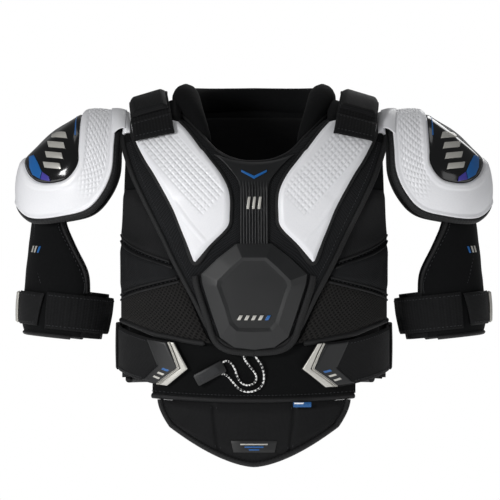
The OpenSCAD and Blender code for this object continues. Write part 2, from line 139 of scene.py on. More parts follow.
# ---------------------------------------------------------------- the torso's surface
@dataclass(frozen=True)
class Torso:
    """The surface that every vest piece lies on, as the CAD model has it."""

    half_w: float = 153
    half_d: float = 116
    crest_z: float = 30
    squareness: float = 2.6
    arch_z: float = -110
    flare: float = 47
    waist_in: float = 10

    def width(self, z: float) -> float:
        """Half width at height z."""
        return self.half_w + self.flare * smooth((z + 130) / 90)

    def depth(self, z: float) -> float:
        """Half depth at height z."""
        return self.half_d - self.waist_in * smooth((-z - 180) / 160)

    def crest(self, x: float) -> float:
        """Height of the shoulder's crest at x."""
        return self.crest_z - 0.3 * max(0.0, abs(x) - 60)

    def station(self, x: float, z: float) -> float:
        """Station of the front's point at (x, z)."""
        if z < self.arch_z:
            return z - self.arch_z
        return math.degrees(math.asin(min(1.0, (z - self.arch_z) / (self.crest(x) - self.arch_z))))

    def skin(self, x: float, s: float) -> Vector:
        """The surface's point at x and station s."""
        if s < 0:
            z, lean = self.arch_z + s, 1.0
        elif s > 180:
            z, lean = self.arch_z - (s - 180), -1.0
        else:
            z = self.arch_z + (self.crest(x) - self.arch_z) * math.sin(math.radians(s))
            lean = math.cos(math.radians(s))
        k = self.squareness
        oval = max(0.0, 1 - (abs(x) / self.width(z)) ** k) ** (1 / k)
        return Vector((x, -self.depth(z) * oval * lean, z))

    def out(self, x: float, s: float) -> Vector:
        """The surface's outward direction there."""
        across = self.skin(x + 0.5, s) - self.skin(x - 0.5, s)
        return across.cross(self.skin(x, s + 0.5) - self.skin(x, s - 0.5)).normalized()

    def on(self, x: float, s: float, off: float) -> Vector:
        """A point off the surface."""
        return self.skin(x, s) + off * self.out(x, s)

    def front(self, x: float, z: float, off: float) -> Vector:
        """A point off the front, by x and height."""
        return self.on(x, self.station(x, z), off)

    def back(self, x: float, z: float, off: float) -> Vector:
        """A point off the back, by x and height."""
        return self.on(x, 180 - self.station(x, z), off)

    def ring(self, angle: float, z: float, off: float) -> Vector:
        """A point off the oval at height z, at an angle from the front's middle towards the left."""
        w, d, e = self.half_w, self.depth(z), 2 / self.squareness
        a = math.radians(angle)
        x, y = w * power(math.sin(a), e), -d * power(math.cos(a), e)
        k = self.squareness - 1
        out = Vector((power(x / w, k) / w, power(y / d, k) / d, 0)).normalized()
        return Vector((x, y, z)) + off * out


TORSO = Torso()
LINER = 7.0
BIB = 13.0
PLATE = 19.5
STRAP = 27.0


def torso_middle(p: Vector) -> Vector:
    """The point inside the torso that a piece at p faces away from."""
    return Vector((0, 0, min(p.z, TORSO.arch_z)))


# ---------------------------------------------------------------- materials
def linear(code: str) -> tuple[float, float, float, float]:
    """An sRGB hex colour as a linear one."""
    parts = [int(code[i : i + 2], 16) / 255 for i in (1, 3, 5)]
    return tuple(c / 12.92 if c <= 0.04045 else ((c + 0.055) / 1.055) ** 2.4 for c in parts) + (1.0,)


def add(tree: bpy.types.NodeTree, kind: str, links: dict | None = None, **values) -> bpy.types.Node:
    """Add a node, set its sockets and properties, and link its inputs.

    Args:
        tree: The material's node tree.
        kind: The node's type, without the ShaderNode prefix.
        links: Input names or indices, each with the output socket that feeds it.
        **values: Properties of the node, or input names with spaces written as underscores.

    Returns:
        The node.
    """
    made = tree.nodes.new("ShaderNode" + kind)
    for name, value in values.items():
        socket = name.replace("_", " ")
        if hasattr(made, name):
            setattr(made, name, value)
        else:
            made.inputs[socket].default_value = value
    for name, output in (links or {}).items():
        tree.links.new(output, made.inputs[name])
    return made


class Texture(Enum):
    """The surface patterns that the pads' materials have."""

    KNIT = "knit"
    MESH = "mesh"
    LOOP = "loop"
    WEBBING = "webbing"
    GRAIN = "grain"
    SATIN = "satin"


class Coords(Enum):
    """What a pattern follows: the piece's own map, or its place."""

    UV = "UV"
    OBJECT = "Object"


@dataclass(frozen=True)
class Finish:
    """One finish: what it is made of, its colours and the size of its pattern.

    pitch is in millimetres and bump is the pattern's height, in millimetres too.
    """

    name: str
    light: str
    dark: str
    texture: Texture
    pitch: float = 1.2
    bump: float = 0.15
    roughness: float = 0.8
    sheen: float = 0.0
    coat: float = 0.0
    metallic: float = 0.0
    specular: float = 0.5
    coords: Coords = Coords.UV

    def material(self) -> bpy.types.Material:
        """Find or make the finish's material."""
        found = bpy.data.materials.get(self.name)
        return found or self._make()

    def _height(self, tree: bpy.types.NodeTree, where: bpy.types.NodeSocket) -> bpy.types.NodeSocket:
        """The pattern's height, from 0 to 1."""
        per_m = 1 / (self.pitch * MM)
        if self.texture is Texture.MESH:
            turned = add(tree, "Mapping", {"Vector": where})
            turned.inputs["Rotation"].default_value = (0, 0, math.radians(45))
            cells = add(tree, "TexVoronoi", {"Vector": turned.outputs[0]}, Scale=per_m, Randomness=0.0)
            hole = add(tree, "MapRange", {"Value": cells.outputs["Distance"]},
                       interpolation_type="SMOOTHSTEP")
            hole.inputs["From Min"].default_value = 0.18
            hole.inputs["From Max"].default_value = 0.42
            return hole.outputs[0]
        if self.texture in (Texture.WEBBING, Texture.KNIT):
            # The Wave node fits 20 / (2 pi) bands in a unit of its scale.
            scale = per_m * math.tau / 20
            rows = add(tree, "TexWave", {"Vector": where}, wave_type="BANDS", bands_direction="Y",
                       Scale=scale)
            tilt = 0.5 if self.texture is Texture.WEBBING else 1.0
            columns = add(tree, "TexWave", {"Vector": where}, wave_type="BANDS", bands_direction="X",
                          Scale=scale * tilt)
            both = add(tree, "Math", {0: rows.outputs["Fac"], 1: columns.outputs["Fac"]},
                       operation="MULTIPLY")
            return both.outputs[0]
        detail = 6.0 if self.texture is Texture.LOOP else 3.0
        grain = add(tree, "TexNoise", {"Vector": where}, Scale=per_m, Detail=detail, Roughness=0.65)
        return grain.outputs["Fac"]

    def _make(self) -> bpy.types.Material:
        """Build the node tree: pattern, slow colour drift, bump and the shader."""
        made = bpy.data.materials.new(self.name)
        made.use_nodes = True
        tree = made.node_tree
        tree.nodes.clear()
        source = add(tree, "TexCoord")
        where = source.outputs[self.coords.value]
        height = self._height(tree, where)
        drift = add(tree, "TexNoise", {"Vector": source.outputs["Object"]}, Scale=28.0, Detail=4.0)
        mixed = add(tree, "Math", {0: height, 1: drift.outputs["Fac"]}, operation="MULTIPLY_ADD")
        mixed.inputs[2].default_value = 0.0
        tree.links.new(height, mixed.inputs[2])
        share = add(tree, "MapRange", {"Value": mixed.outputs[0]})
        share.inputs["From Max"].default_value = 1.5
        colour = add(tree, "Mix", {"Factor": share.outputs[0]}, data_type="RGBA")
        colour.inputs[6].default_value = linear(self.dark)
        colour.inputs[7].default_value = linear(self.light)
        bump = add(tree, "Bump", {"Height": height}, Strength=0.8, Distance=self.bump * MM)
        rough = add(tree, "MapRange", {"Value": drift.outputs["Fac"]})
        rough.inputs["To Min"].default_value = max(0.05, self.roughness - 0.08)
        rough.inputs["To Max"].default_value = min(1.0, self.roughness + 0.08)
        links = {"Base Color": colour.outputs[2], "Roughness": rough.outputs[0], "Normal": bump.outputs[0]}
        shader = add(tree, "BsdfPrincipled", links, Metallic=self.metallic, Sheen_Weight=self.sheen,
                     Sheen_Roughness=0.45, Coat_Weight=self.coat, Coat_Roughness=0.12,
                     Specular_IOR_Level=self.specular)
        add(tree, "OutputMaterial", {"Surface": shader.outputs[0]})
        return made


# Brushed tricot over foam: soft, slightly furry and nearly black.
TRICOT = Finish("black_tricot_foam", "#0f1011", "#060607", Texture.LOOP, pitch=3.0, bump=0.25,
                roughness=0.92, sheen=0.03, specular=0.12, coords=Coords.OBJECT)
# Plain-woven nylon: a fine regular thread with a faint sheen.
NYLON = Finish("black_woven_nylon", "#17181a", "#040405", Texture.KNIT, pitch=1.5, bump=0.4, roughness=0.7,
               sheen=0.03, specular=0.22)
# Spacer mesh: a knitted net with open holes, drawn a little coarser than life so that it shows.
MESH = Finish("black_spacer_mesh", "#1c1b1a", "#020202", Texture.MESH, pitch=2.7, bump=0.8, roughness=0.85,
              sheen=0.03, specular=0.2)
# Perforated knit over foam: finer than the spacer mesh.
PERFORATED = Finish("black_perforated_knit", "#17181a", "#020203", Texture.MESH, pitch=2.3, bump=0.5,
                    roughness=0.8, sheen=0.03, specular=0.2)
# Grosgrain edge tape: narrow ribs across the tape.
TAPE = Finish("black_grosgrain_tape", "#141517", "#060607", Texture.WEBBING, pitch=1.1, bump=0.25,
              roughness=0.62, sheen=0.03, specular=0.35)
# Elastic webbing: soft ribs along its length.
ELASTIC = Finish("black_elastic_webbing", "#131416", "#060607", Texture.WEBBING, pitch=1.8, bump=0.35,
                 roughness=0.8, sheen=0.03, specular=0.2)
# Loop pile of hook-and-loop: matt and fuzzy.
LOOP_PILE = Finish("black_loop_pile", "#0f1011", "#050505", Texture.LOOP, pitch=1.2, bump=0.4,
                   roughness=0.95, sheen=0.06, specular=0.12, coords=Coords.OBJECT)
# Bonded thread, a shade lighter than the cloth that it holds: partly the thread's own colour and partly a
# painted highlight, the stitches' small glints.
THREAD_AND_GLINT = Finish("charcoal_thread", "#38393c", "#242527", Texture.SATIN, pitch=0.6, bump=0.05, roughness=0.6,
                specular=0.3, coords=Coords.OBJECT)
# Injection-moulded polyethylene: waxy white with soft highlights.
WHITE_PE = Finish("white_moulded_polyethylene", "#f0f0f2", "#e4e5e9", Texture.GRAIN, pitch=1.6, bump=0.03,
                  roughness=0.42, coat=0.12, coords=Coords.OBJECT)
# Moulded black thermoplastic: a spark-eroded grain that scatters the light.
BLACK_PP = Finish("black_grained_polypropylene", "#151617", "#0f1011", Texture.GRAIN, pitch=0.7, bump=0.06,
                  roughness=0.46, specular=0.5, coords=Coords.OBJECT)
# Polyurethane film, moulded in ribs: a dull leathery gloss.
RIB_PU = Finish("black_ribbed_polyurethane", "#131416", "#090a0b", Texture.GRAIN, pitch=0.9, bump=0.04,
                roughness=0.42, specular=0.45, coords=Coords.OBJECT)
# High-gloss thermoplastic inlay.
GLOSS = Finish("black_gloss_inlay", "#08090a", "#040405", Texture.SATIN, pitch=4.0, bump=0.01,
               roughness=0.16, coat=0.5, coords=Coords.OBJECT)
# Silver-pigmented plastic: satin, with a fine metallic flake.
SILVER = Finish("satin_silver_plastic", "#d2d0c9", "#aeaca6", Texture.SATIN, pitch=0.5, bump=0.02,
                roughness=0.34, metallic=0.35, coords=Coords.OBJECT)
# Blue film transfer.
BLUE = Finish("blue_transfer_film", "#1b66ac", "#124e8c", Texture.SATIN, pitch=1.0, bump=0.01, roughness=0.3,
              coat=0.3, coords=Coords.OBJECT)
# Violet film transfer, beside the blue one.
VIOLET = Finish("violet_transfer_film", "#4a46a4", "#372f86", Texture.SATIN, pitch=1.0, bump=0.01,
                roughness=0.3, coat=0.3, coords=Coords.OBJECT)
# Damask-woven label: satin threads.
LABEL = Finish("blue_woven_label", "#1f6cae", "#124a80", Texture.KNIT, pitch=0.7, bump=0.06, roughness=0.6,
               coords=Coords.OBJECT)
# Moulded eyelet: dark anodised aluminium.
ANODISED = Finish("black_anodised_aluminium", "#3c3d40", "#2a2b2d", Texture.SATIN, pitch=0.6, bump=0.01,
                  roughness=0.35, metallic=1.0, coords=Coords.OBJECT)
# Grey woven nylon of the pull tab's centre.
WOVEN_GREY = Finish("grey_woven_tab", "#3c3d41", "#1c1d1f", Texture.KNIT, pitch=0.9, bump=0.15, roughness=0.7,
                    coords=Coords.OBJECT)
# The studio's floor, not a part of the pads.
FLOOR = Finish("pale_studio_floor", "#fbfbfc", "#f6f6f8", Texture.GRAIN, pitch=20, bump=0.01, roughness=0.9,
               coords=Coords.OBJECT)


def dress(obj: bpy.types.Object, finish: Finish | bpy.types.Material) -> None:
    """Give a piece one finish."""
    obj.data.materials.clear()
    obj.data.materials.append(finish.material() if isinstance(finish, Finish) else finish)


# ---------------------------------------------------------------- mesh helpers
def finish_mesh(name: str, bm: bmesh.types.BMesh, shade: bool = True) -> bpy.types.Object:
    """Turn a bmesh in millimetres into an object in metres, at the origin."""
    bmesh.ops.scale(bm, vec=(MM, MM, MM), verts=bm.verts)
    mesh = bpy.data.meshes.new(name)
    bm.to_mesh(mesh)
    bm.free()
    if shade:
        mesh.shade_smooth()
    obj = bpy.data.objects.new(name, mesh)
    bpy.context.scene.collection.objects.link(obj)
    return obj


def turn_outward(bm: bmesh.types.BMesh, inside: Callable[[Vector], Vector]) -> None:
    """Point an open sheet's faces away from inside(face centre)."""
    bm.normal_update()
    lean = 0.0
    for face in bm.faces:
        centre = face.calc_center_median()
        lean += face.calc_area() * face.normal.dot(centre - inside(centre))
    if lean < 0:
        bmesh.ops.reverse_faces(bm, faces=bm.faces)


def mapped(name: str, place: Place, steps: tuple[int, int], size: tuple[float, float],
           inside: Callable[[Vector], Vector] = torso_middle, ring: bool = False) -> bpy.types.Object:
    """Lay a grid on a surface.

    Args:
        name: The piece's name.
        place: Gives the point for u and v, each from 0 to 1, in millimetres.
        steps: Faces along u and v.
        size: The sheet's width and height in millimetres, for its map.
        inside: Gives the point that a face looks away from.
        ring: True if u comes back to where it started.

    Returns:
        The open sheet, facing out.
    """
    bm = bmesh.new()
    uv = bm.loops.layers.uv.new("UVMap")
    bmesh.ops.create_grid(bm, x_segments=steps[0], y_segments=steps[1], size=0.5)
    for face in bm.faces:
        for loop in face.loops:
            co = loop.vert.co
            loop[uv].uv = ((co.x + 0.5) * size[0] * MM, (co.y + 0.5) * size[1] * MM)
    for vert in bm.verts:
        vert.co = place(vert.co.x + 0.5, vert.co.y + 0.5)
    if ring:
        bmesh.ops.remove_doubles(bm, verts=bm.verts, dist=0.01)
    turn_outward(bm, inside)
    return finish_mesh(name, bm)


def thicken(obj: bpy.types.Object, thickness: float, edge: float = 0.8,
            segments: int = 3) -> bpy.types.Object:
    """Give an open sheet a wall inwards and soft edges, in millimetres."""
    wall = obj.modifiers.new("wall", "SOLIDIFY")
    wall.thickness = thickness * MM
    wall.offset = -1
    if edge:
        soften(obj, edge, segments)
    return obj


def soften(obj: bpy.types.Object, width: float, segments: int = 3, angle: float = 50) -> None:
    """Round the sharp edges of a piece."""
    round_off = obj.modifiers.new("soft_edges", "BEVEL")
    round_off.width = width * MM
    round_off.segments = segments
    round_off.limit_method = "ANGLE"
    round_off.angle_limit = math.radians(angle)
    round_off.harden_normals = False


def apply_modifiers(obj: bpy.types.Object) -> None:
    """Make a piece's modifiers part of its mesh."""
    graph = bpy.context.evaluated_depsgraph_get()
    mesh = bpy.data.meshes.new_from_object(obj.evaluated_get(graph))
    obj.modifiers.clear()
    obj.data = mesh


Track = Callable[[float], tuple[Vector, Vector]]


def trim(name: str, track: Track, half_wide: float, half_high: float, steps: int, closed: bool = False,
         sides: int = 12, length: float = 300) -> bpy.types.Object:
    """A soft oval cord of tape along a track.

    Args:
        name: The piece's name.
        track: Gives the point and the outward direction for t from 0 to 1, in millimetres.
        half_wide: Half width, along the surface.
        half_high: Half height, off the surface.
        steps: Faces along it.
        closed: True for a loop.
        sides: Faces around it.
        length: Its length in millimetres, for its map.

    Returns:
        The closed piece.
    """
    rings = []
    for i in range(steps + 1):
        t = i / steps
        at, out = track(t)
        ahead = track((t + 0.002) % 1 if closed else min(1, t + 0.002))[0]
        behind = track((t - 0.002) % 1 if closed else max(0, t - 0.002))[0]
        side = (ahead - behind).normalized().cross(out).normalized()
        rings.append((at, side, side.cross((ahead - behind).normalized())))
    bm = bmesh.new()
    uv = bm.loops.layers.uv.new("UVMap")
    bmesh.ops.create_grid(bm, x_segments=steps, y_segments=sides, size=0.5)
    for face in bm.faces:
        for loop in face.loops:
            co = loop.vert.co
            loop[uv].uv = ((co.x + 0.5) * length * MM, (co.y + 0.5) * math.tau * half_wide * MM)
    for vert in bm.verts:
        at, side, up = rings[round((vert.co.x + 0.5) * steps)]
        a = math.tau * (vert.co.y + 0.5)
        vert.co = at + side * half_wide * math.cos(a) + up * half_high * math.sin(a)
    bmesh.ops.remove_doubles(bm, verts=bm.verts, dist=0.005)
    bmesh.ops.holes_fill(bm, edges=[e for e in bm.edges if e.is_boundary], sides=0)
    bmesh.ops.recalc_face_normals(bm, faces=bm.faces)
    return finish_mesh(name, bm)


def stitches(name: str, tracks: Iterable[Track], length: float, pitch: float = 4.2) -> bpy.types.Object:
    """Rows of machine stitches, one per track, as short thread grains lying on the cloth.

    Args:
        name: The piece's name.
        tracks: The rows.
        length: A row's length in millimetres.
        pitch: From one stitch to the next.

    Returns:
        All the stitches as one piece.
    """
    bm = bmesh.new()
    count = max(2, int(length / pitch))
    for track in tracks:
        for i in range(count):
            at, out = track((i + 0.5) / count)
            ahead = track(min(1, (i + 0.6) / count))[0]
            if (ahead - at).length < 1e-6:
                continue
            along = (ahead - at).normalized()
            side = along.cross(out).normalized()
            turn = Matrix((along, side, side.cross(along) * -1)).transposed().to_4x4()
            shape = Matrix.Translation(at) @ turn @ Matrix.Diagonal((pitch * 0.36, 0.42, 0.42, 1))
            bmesh.ops.create_uvsphere(bm, u_segments=6, v_segments=4, radius=1, matrix=shape)
    bmesh.ops.recalc_face_normals(bm, faces=bm.faces)
    return finish_mesh(name, bm)


def block(name: str, outline: Sequence[Point], place: Callable[[float, float, float], Vector], low: float,
          high: float, bevel: float = 0.4, cuts: int = 0) -> bpy.types.Object:
    """A flat-topped raised piece from an outline, bent onto a surface.

    Args:
        name: The piece's name.
        outline: Corners in the surface's own two measures, in order.
        place: Gives the point for those two measures and a height off the surface.
        low: Height of its underside.
        high: Height of its top.
        bevel: Width of its rounded edge.
        cuts: How often its faces are cut, so that it bends with the surface.

    Returns:
        The closed piece.
    """
    bm = bmesh.new()
    face = bm.faces.new([bm.verts.new((p[0], p[1], low)) for p in outline])
    grown = bmesh.ops.extrude_face_region(bm, geom=[face])
    for vert in (v for v in grown["geom"] if isinstance(v, bmesh.types.BMVert)):
        vert.co.z = high
    bmesh.ops.recalc_face_normals(bm, faces=bm.faces)
    if bevel:
        edges = [e for e in bm.edges if min(v.co.z for v in e.verts) > low + 1e-6 or abs(
            e.verts[0].co.z - e.verts[1].co.z) > 1e-6]
        bmesh.ops.bevel(bm, geom=edges, offset=bevel, affect="EDGES", segments=2, profile=0.5, material=-1,
                        offset_type="OFFSET")
    if cuts:
        bmesh.ops.triangulate(bm, faces=[f for f in bm.faces if len(f.verts) > 4])
        for _ in range(cuts):
            bmesh.ops.subdivide_edges(bm, edges=[e for e in bm.edges if e.calc_length() > 4], cuts=1,
                                      use_grid_fill=True)
    for vert in bm.verts:
        vert.co = place(*vert.co)
    bmesh.ops.recalc_face_normals(bm, faces=bm.faces)
    obj = finish_mesh(name, bm, shade=False)
    obj.data.shade_smooth()
    obj.data.set_sharp_from_angle(angle=math.radians(38))
    return obj


def puff(obj: bpy.types.Object, voxel: float = 5, pressure: float = 4, limit: float = 5) -> bpy.types.Object:
    """Swell a closed pad with a short cloth simulation.

    Args:
        obj: A closed piece, a little smaller than the finished pad.
        voxel: Remesh size in millimetres.
        pressure: Air pressure inside.
        limit: The most that a point may move, in millimetres.

    Returns:
        The same piece, swollen and smoothed.
    """
    remesh = obj.modifiers.new("even", "REMESH")
    remesh.mode = "VOXEL"
    remesh.voxel_size = voxel * MM
    apply_modifiers(obj)
    start = [v.co.copy() for v in obj.data.vertices]
    cloth = obj.modifiers.new("cloth", "CLOTH")
    cloth.settings.use_pressure = True
    cloth.settings.uniform_pressure_force = pressure
    cloth.settings.effector_weights.gravity = 0
    cloth.settings.quality = 6
    scene = bpy.context.scene
    for step in range(1, 16):
        scene.frame_set(step)
    apply_modifiers(obj)
    for vert, before in zip(obj.data.vertices, start):
        move = vert.co - before
        if move.length > limit * MM:
            vert.co = before + move.normalized() * limit * MM
    scene.frame_set(1)
    finer = obj.modifiers.new("finer", "SUBSURF")
    finer.levels = finer.render_levels = 1
    apply_modifiers(obj)
    obj.data.shade_smooth()
    return obj


def mirrored(obj: bpy.types.Object, name: str) -> bpy.types.Object:
    """A copy of a left piece as the right one."""
    bm = bmesh.new()
    bm.from_mesh(obj.data)
    bmesh.ops.scale(bm, vec=(-1, 1, 1), verts=bm.verts)
    bmesh.ops.reverse_faces(bm, faces=bm.faces)
    bmesh.ops.scale(bm, vec=(1 / MM, 1 / MM, 1 / MM), verts=bm.verts)
    return finish_mesh(name, bm)


def keep(obj: bpy.types.Object, finish: Finish, slot: str, body: str, *nodes: str,
         fill: float | None = None) -> bpy.types.Object:
    """Dress a piece, hide the CAD nodes that it stands for, and hang it on its body."""
    dress(obj, finish)
    if nodes:
        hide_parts(*nodes)
    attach(obj, body)
    LOG.info("%s rides on %s", obj.name, body)
    return obj


def lay(name: str, place: Place, steps: tuple[int, int], size: tuple[float, float], wall: float, edge: float,
        finish: Finish, slot: str, body: str, *nodes: str, inside: Callable[[Vector], Vector] = torso_middle,
        fill: float | None = None) -> bpy.types.Object:
    """Make and keep a sheet with a wall.

    Args:
        name: The piece's name.
        place: Gives the point for u and v, each from 0 to 1, in millimetres.
        steps: Faces along u and v.
        size: The sheet's width and height in millimetres, for its map.
        wall: Its thickness in millimetres.
        edge: Width of its rounded edge.
        finish: What it is made of.
        slot: The name of a material slot; not used.
        body: The body that it rides on.
        *nodes: The CAD nodes that it stands for.
        inside: Gives the point that a face looks away from.
        fill: How full a pad is, or None for a piece that isn't padded; not used.

    Returns:
        The piece.
    """
    sheet = thicken(mapped(name, place, steps, size, inside), wall, edge)
    return keep(sheet, finish, slot, body, *nodes, fill=fill)


def bind(name: str, track: Track, half_wide: float, half_high: float, steps: int, body: str, *nodes: str,
         closed: bool = False, sides: int = 12, length: float = 300) -> None:
    """Make and keep an edge tape; the measures are those of trim."""
    tape = trim(name, track, half_wide, half_high, steps, closed, sides, length)
    keep(tape, TAPE, "binding", body, *nodes)


def span(name: str, place: Place, steps: tuple[int, int], size: tuple[float, float], wall: float, edge: float,
         finish: Finish,
         inside: Callable[[Vector], Vector] = torso_middle) -> None:
    """Make a sheet across a joint, with its wall applied, dressed and baked in place; it hangs on no body.

    Args:
        name: The piece's name.
        place: Gives the point for u and v, each from 0 to 1, in millimetres.
        steps: Faces along u and v.
        size: The sheet's width and height in millimetres, for its map.
        wall: Its thickness in millimetres.
        edge: Width of its rounded edge.
        finish: What it is made of.
        inside: Gives the point that a face looks away from.
    """
    sheet = thicken(mapped(name, place, steps, size, inside), wall, edge)
    apply_modifiers(sheet)
    dress(sheet, finish)
    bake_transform(sheet)


def accent(blue: bool) -> tuple[Finish, str]:
    """The finish and the slot of a blue mark or a silver one."""
    return (BLUE, "blue_trim") if blue else (SILVER, "silver_trim")


def sew(name: str, tracks: Iterable[Track], length: float, body: str) -> None:
    """Make and keep rows of stitches, each of that length in millimetres."""
    # The thread's lighter tone is partly a painted highlight on the stitches.
    keep(stitches(name, tracks, length), THREAD_AND_GLINT, "binding", body)


# ---------------------------------------------------------------- outlines of the vest
# The liners end at CREST_STOP degrees up each side of the shoulder's crest, outside of NECK_SIDE.
CREST_STOP = 78
NECK_SIDE = 97
BIB_EDGE = [(0, -262), (24, -259), (42, -248), (53, -234), (67, -205), (80, -179), (93, -152), (110, -112),
            (126, -82), (140, -56), (150, -30), (155, -6)]
BACK_NECK_LINE = [(40, 19), (70, 18)]
NECK_LINE = [(0, -42), (20, -40), (40, -32), (54, -20), (66, -6), (80, 7), (95, 17)]
PLATE_OUTER = [(68, -157), (78, -129), (87, -105), (96, -87), (113, -60), (126, -42), (138, -20), (142, -6)]
PLATE_INNER = [(66, -158), (50, -138), (31, -117), (28, -101), (29, -79), (38, -60), (56, -38), (76, -13),
               (93, 3)]
VEST_BOTTOM = [(0, -262), (40, -257), (76, -252), (113, -244), (152, -228)]


def neck_z(x: float) -> float:
    """Height of the neckline at x."""
    return lookup(abs(x), NECK_LINE)


def vest_bottom(x: float) -> float:
    """Height of the vest's bottom edge at x."""
    return lookup(abs(x), VEST_BOTTOM)


def on_front(side: Side, x: float, z: float, off: float) -> Vector:
    """A point off the front, on one side."""
    return side.put(TORSO.front(x, z, off))


def front_track(points: Sequence[Point], off: float, side: Side = Side.LEFT) -> Track:
    """A track along a smooth outline on the front."""

    def track(t: float) -> tuple[Vector, Vector]:
        p = through(points, t)
        s = TORSO.station(p.x, p.y)
        return side.put(TORSO.on(p.x, s, off)), side.put(TORSO.out(p.x, s))

    return track


@dataclass
class Chest:
    """The front of the vest: liner, bib, plates, shield, side panels, belly panel, collar and straps."""

    body: str = "chest"
    edge_x: float = 151
    belly_half: float = 118
    belly_low: float = -314
    dimple_pitch: float = 7.6

    def build(self) -> None:
        """Make every piece of the front."""
        self.liner()
        self.bib()
        self.ribs()
        self.shield()
        self.belly()
        for side in Side:
            self.plate(side)
            self.side_panels(side)
            self.bridge(side)
            self.strap(side)
            self.link(side)
        self.collars()

    def liner(self) -> None:
        """The foam liner that the whole front is sewn to."""

        def place(u: float, v: float) -> Vector:
            x = self.edge_x * math.sin(math.pi * (u - 0.5))
            top = TORSO.station(x, neck_z(x)) if abs(x) < NECK_SIDE else CREST_STOP
            s = lerp(TORSO.station(x, vest_bottom(x)), min(top, CREST_STOP), v)
            return TORSO.on(x, s, LINER - 3 + 3 * pillow(u, v, 330, 260, 9))

        lay("chest_liner_foam", place, (72, 60), (330, 300), 6, 1.2, TRICOT, "foam_liner", self.body,
            "chest_liner")
        neck = [(-x, z - 1) for x, z in reversed(NECK_LINE[1:])] + [(x, z - 1) for x, z in NECK_LINE]
        bind("neckline_tape", front_track(neck, 5.5), 2.6, 5.0, 90, self.body)
        flank = [(151.5, -226), (151.5, -190), (151.5, -150), (151, -110)]
        for side in Side:
            bind(f"flank_tape_{side.word}", front_track(flank, 3.5, side), 2.4, 4.6, 40, self.body)

    def bib(self) -> None:
        """The mesh-covered V-shaped bib, with its bound and stitched edge."""

        def place(u: float, v: float) -> Vector:
            edge = through(BIB_EDGE[3:], v)
            w = 2 * u - 1
            x = w * edge.x
            middle = lerp(-262, neck_z(x) - 4, v)
            z = lerp(middle, edge.y, abs(w) ** 3)
            return TORSO.front(x, z, BIB - 2.4 + 2.4 * pillow(u, v, 2 * edge.x, 240, 8))

        lay("bib_mesh_cover", place, (96, 110), (240, 260), 3.6, 1.0, PERFORATED, "shell_fabric", self.body,
            "bib_pad")
        for side in Side:
            bind(f"bib_edge_tape_{side.word}", front_track(BIB_EDGE, 12.4, side), 3.2, 2.8, 150, self.body,
                 length=420)
            inner = [(max(0, x - 8), z + (6 if x < 50 else 2)) for x, z in BIB_EDGE]
            sew(f"bib_stitching_{side.word}", [front_track(inner, 13.4, side)], 400, self.body)

    def dimple(self, x: float, z: float) -> float:
        """Depth of the grooves between the moulded diamonds at (x, z)."""
        a, b = Vector((118, -14)), Vector((46, -90))
        along = (b - a).normalized()
        rel = Vector((x, z)) - a
        across = abs(rel.x * along.y - rel.y * along.x)
        reach = smooth((21 - across) / 6) * smooth((rel.dot(along) + 4) / 8) * smooth(
            ((b - a).length + 4 - rel.dot(along)) / 8)
        return reach * groove(x, z, self.dimple_pitch, 1.0)

    def crease(self, x: float, z: float) -> float:
        """Height of the plate's raised crease near its lower end."""
        a, b = Vector((92, -86)), Vector((54, -136))
        along = (b - a).normalized()
        rel = Vector((x, z)) - a
        across = rel.x * along.y - rel.y * along.x
        ends = smooth((rel.dot(along) + 2) / 10) * smooth(((b - a).length + 2 - rel.dot(along)) / 10)
        return ends * (0.9 * smooth(1 - abs(across) / 4) + 0.5 * smooth((across + 3) / 9))

    def plate(self, side: Side) -> None:
        """One white moulded chest plate with its dimples, crease and rolled edge."""

        def place(u: float, v: float) -> Vector:
            p = through(PLATE_INNER, v).lerp(through(PLATE_OUTER, v), u)
            width = (through(PLATE_OUTER, v) - through(PLATE_INNER, v)).length
            full = pillow(u, v, max(width, 8), 190, 7)
            off = PLATE - 3.2 + 3.2 * full - self.dimple(p.x, p.y) * full + self.crease(p.x, p.y) * full
            return on_front(side, p.x, p.y, off)

        lay(f"chest_plate_shell_{side.word}", place, (96, 200), (80, 190), 3.2, 0.7, WHITE_PE,
            "white_shell", self.body, f"chest_plate_{side.word}")
        outline = [PLATE_INNER[-1]] + PLATE_INNER[-2:0:-1] + [(66.5, -159)] + PLATE_OUTER[1:]
        bind(f"plate_edge_tape_{side.word}", front_track(outline, 14.6, side), 3.6, 1.9, 190, self.body,
             length=420)

    def ribs(self) -> None:
        """The ribbed panel between the plates, with its blue accent and a plain silver bar."""

        def place(u: float, v: float) -> Vector:
            edge = through([(16, -138), (16, -112), (16, -85), (19, -66), (32, -50), (47, -37)], v)
            x = (2 * u - 1) * edge.x
            z = lerp(lerp(-138, -46, v), edge.y, (2 * u - 1) ** 2)
            rib = abs(math.sin(math.pi * x / 3.4)) * smooth((-66 - z) / 8)
            return TORSO.front(x, z, 15.6 + 1.6 * rib + 1.2 * pillow(u, v, 2 * edge.x, 96, 5))

        lay("ribbed_sternum_panel", place, (110, 60), (34, 96), 2.2, 0.4, RIB_PU, "shell_fabric", self.body,
            "rib_panel")
        chevron = [(-15, -55), (-15, -57), (0, -64.5), (15, -57), (15, -55), (0, -61.5)]
        keep(block("blue_accent", chevron, TORSO.front, 15.8, 18.4, 0.2, 1), BLUE, "blue_trim", self.body)
        for i, x in enumerate((-6.5, 0, 6.5)):
            bar = [(x - 2.4, -97), (x + 0.6, -97), (x + 2.4, -84), (x - 0.6, -84)]
            raised = block(f"sternum_bar_{i + 1}", bar, TORSO.front, 16, 19.6, 0.3, 1)
            keep(raised, SILVER, "silver_trim", self.body)

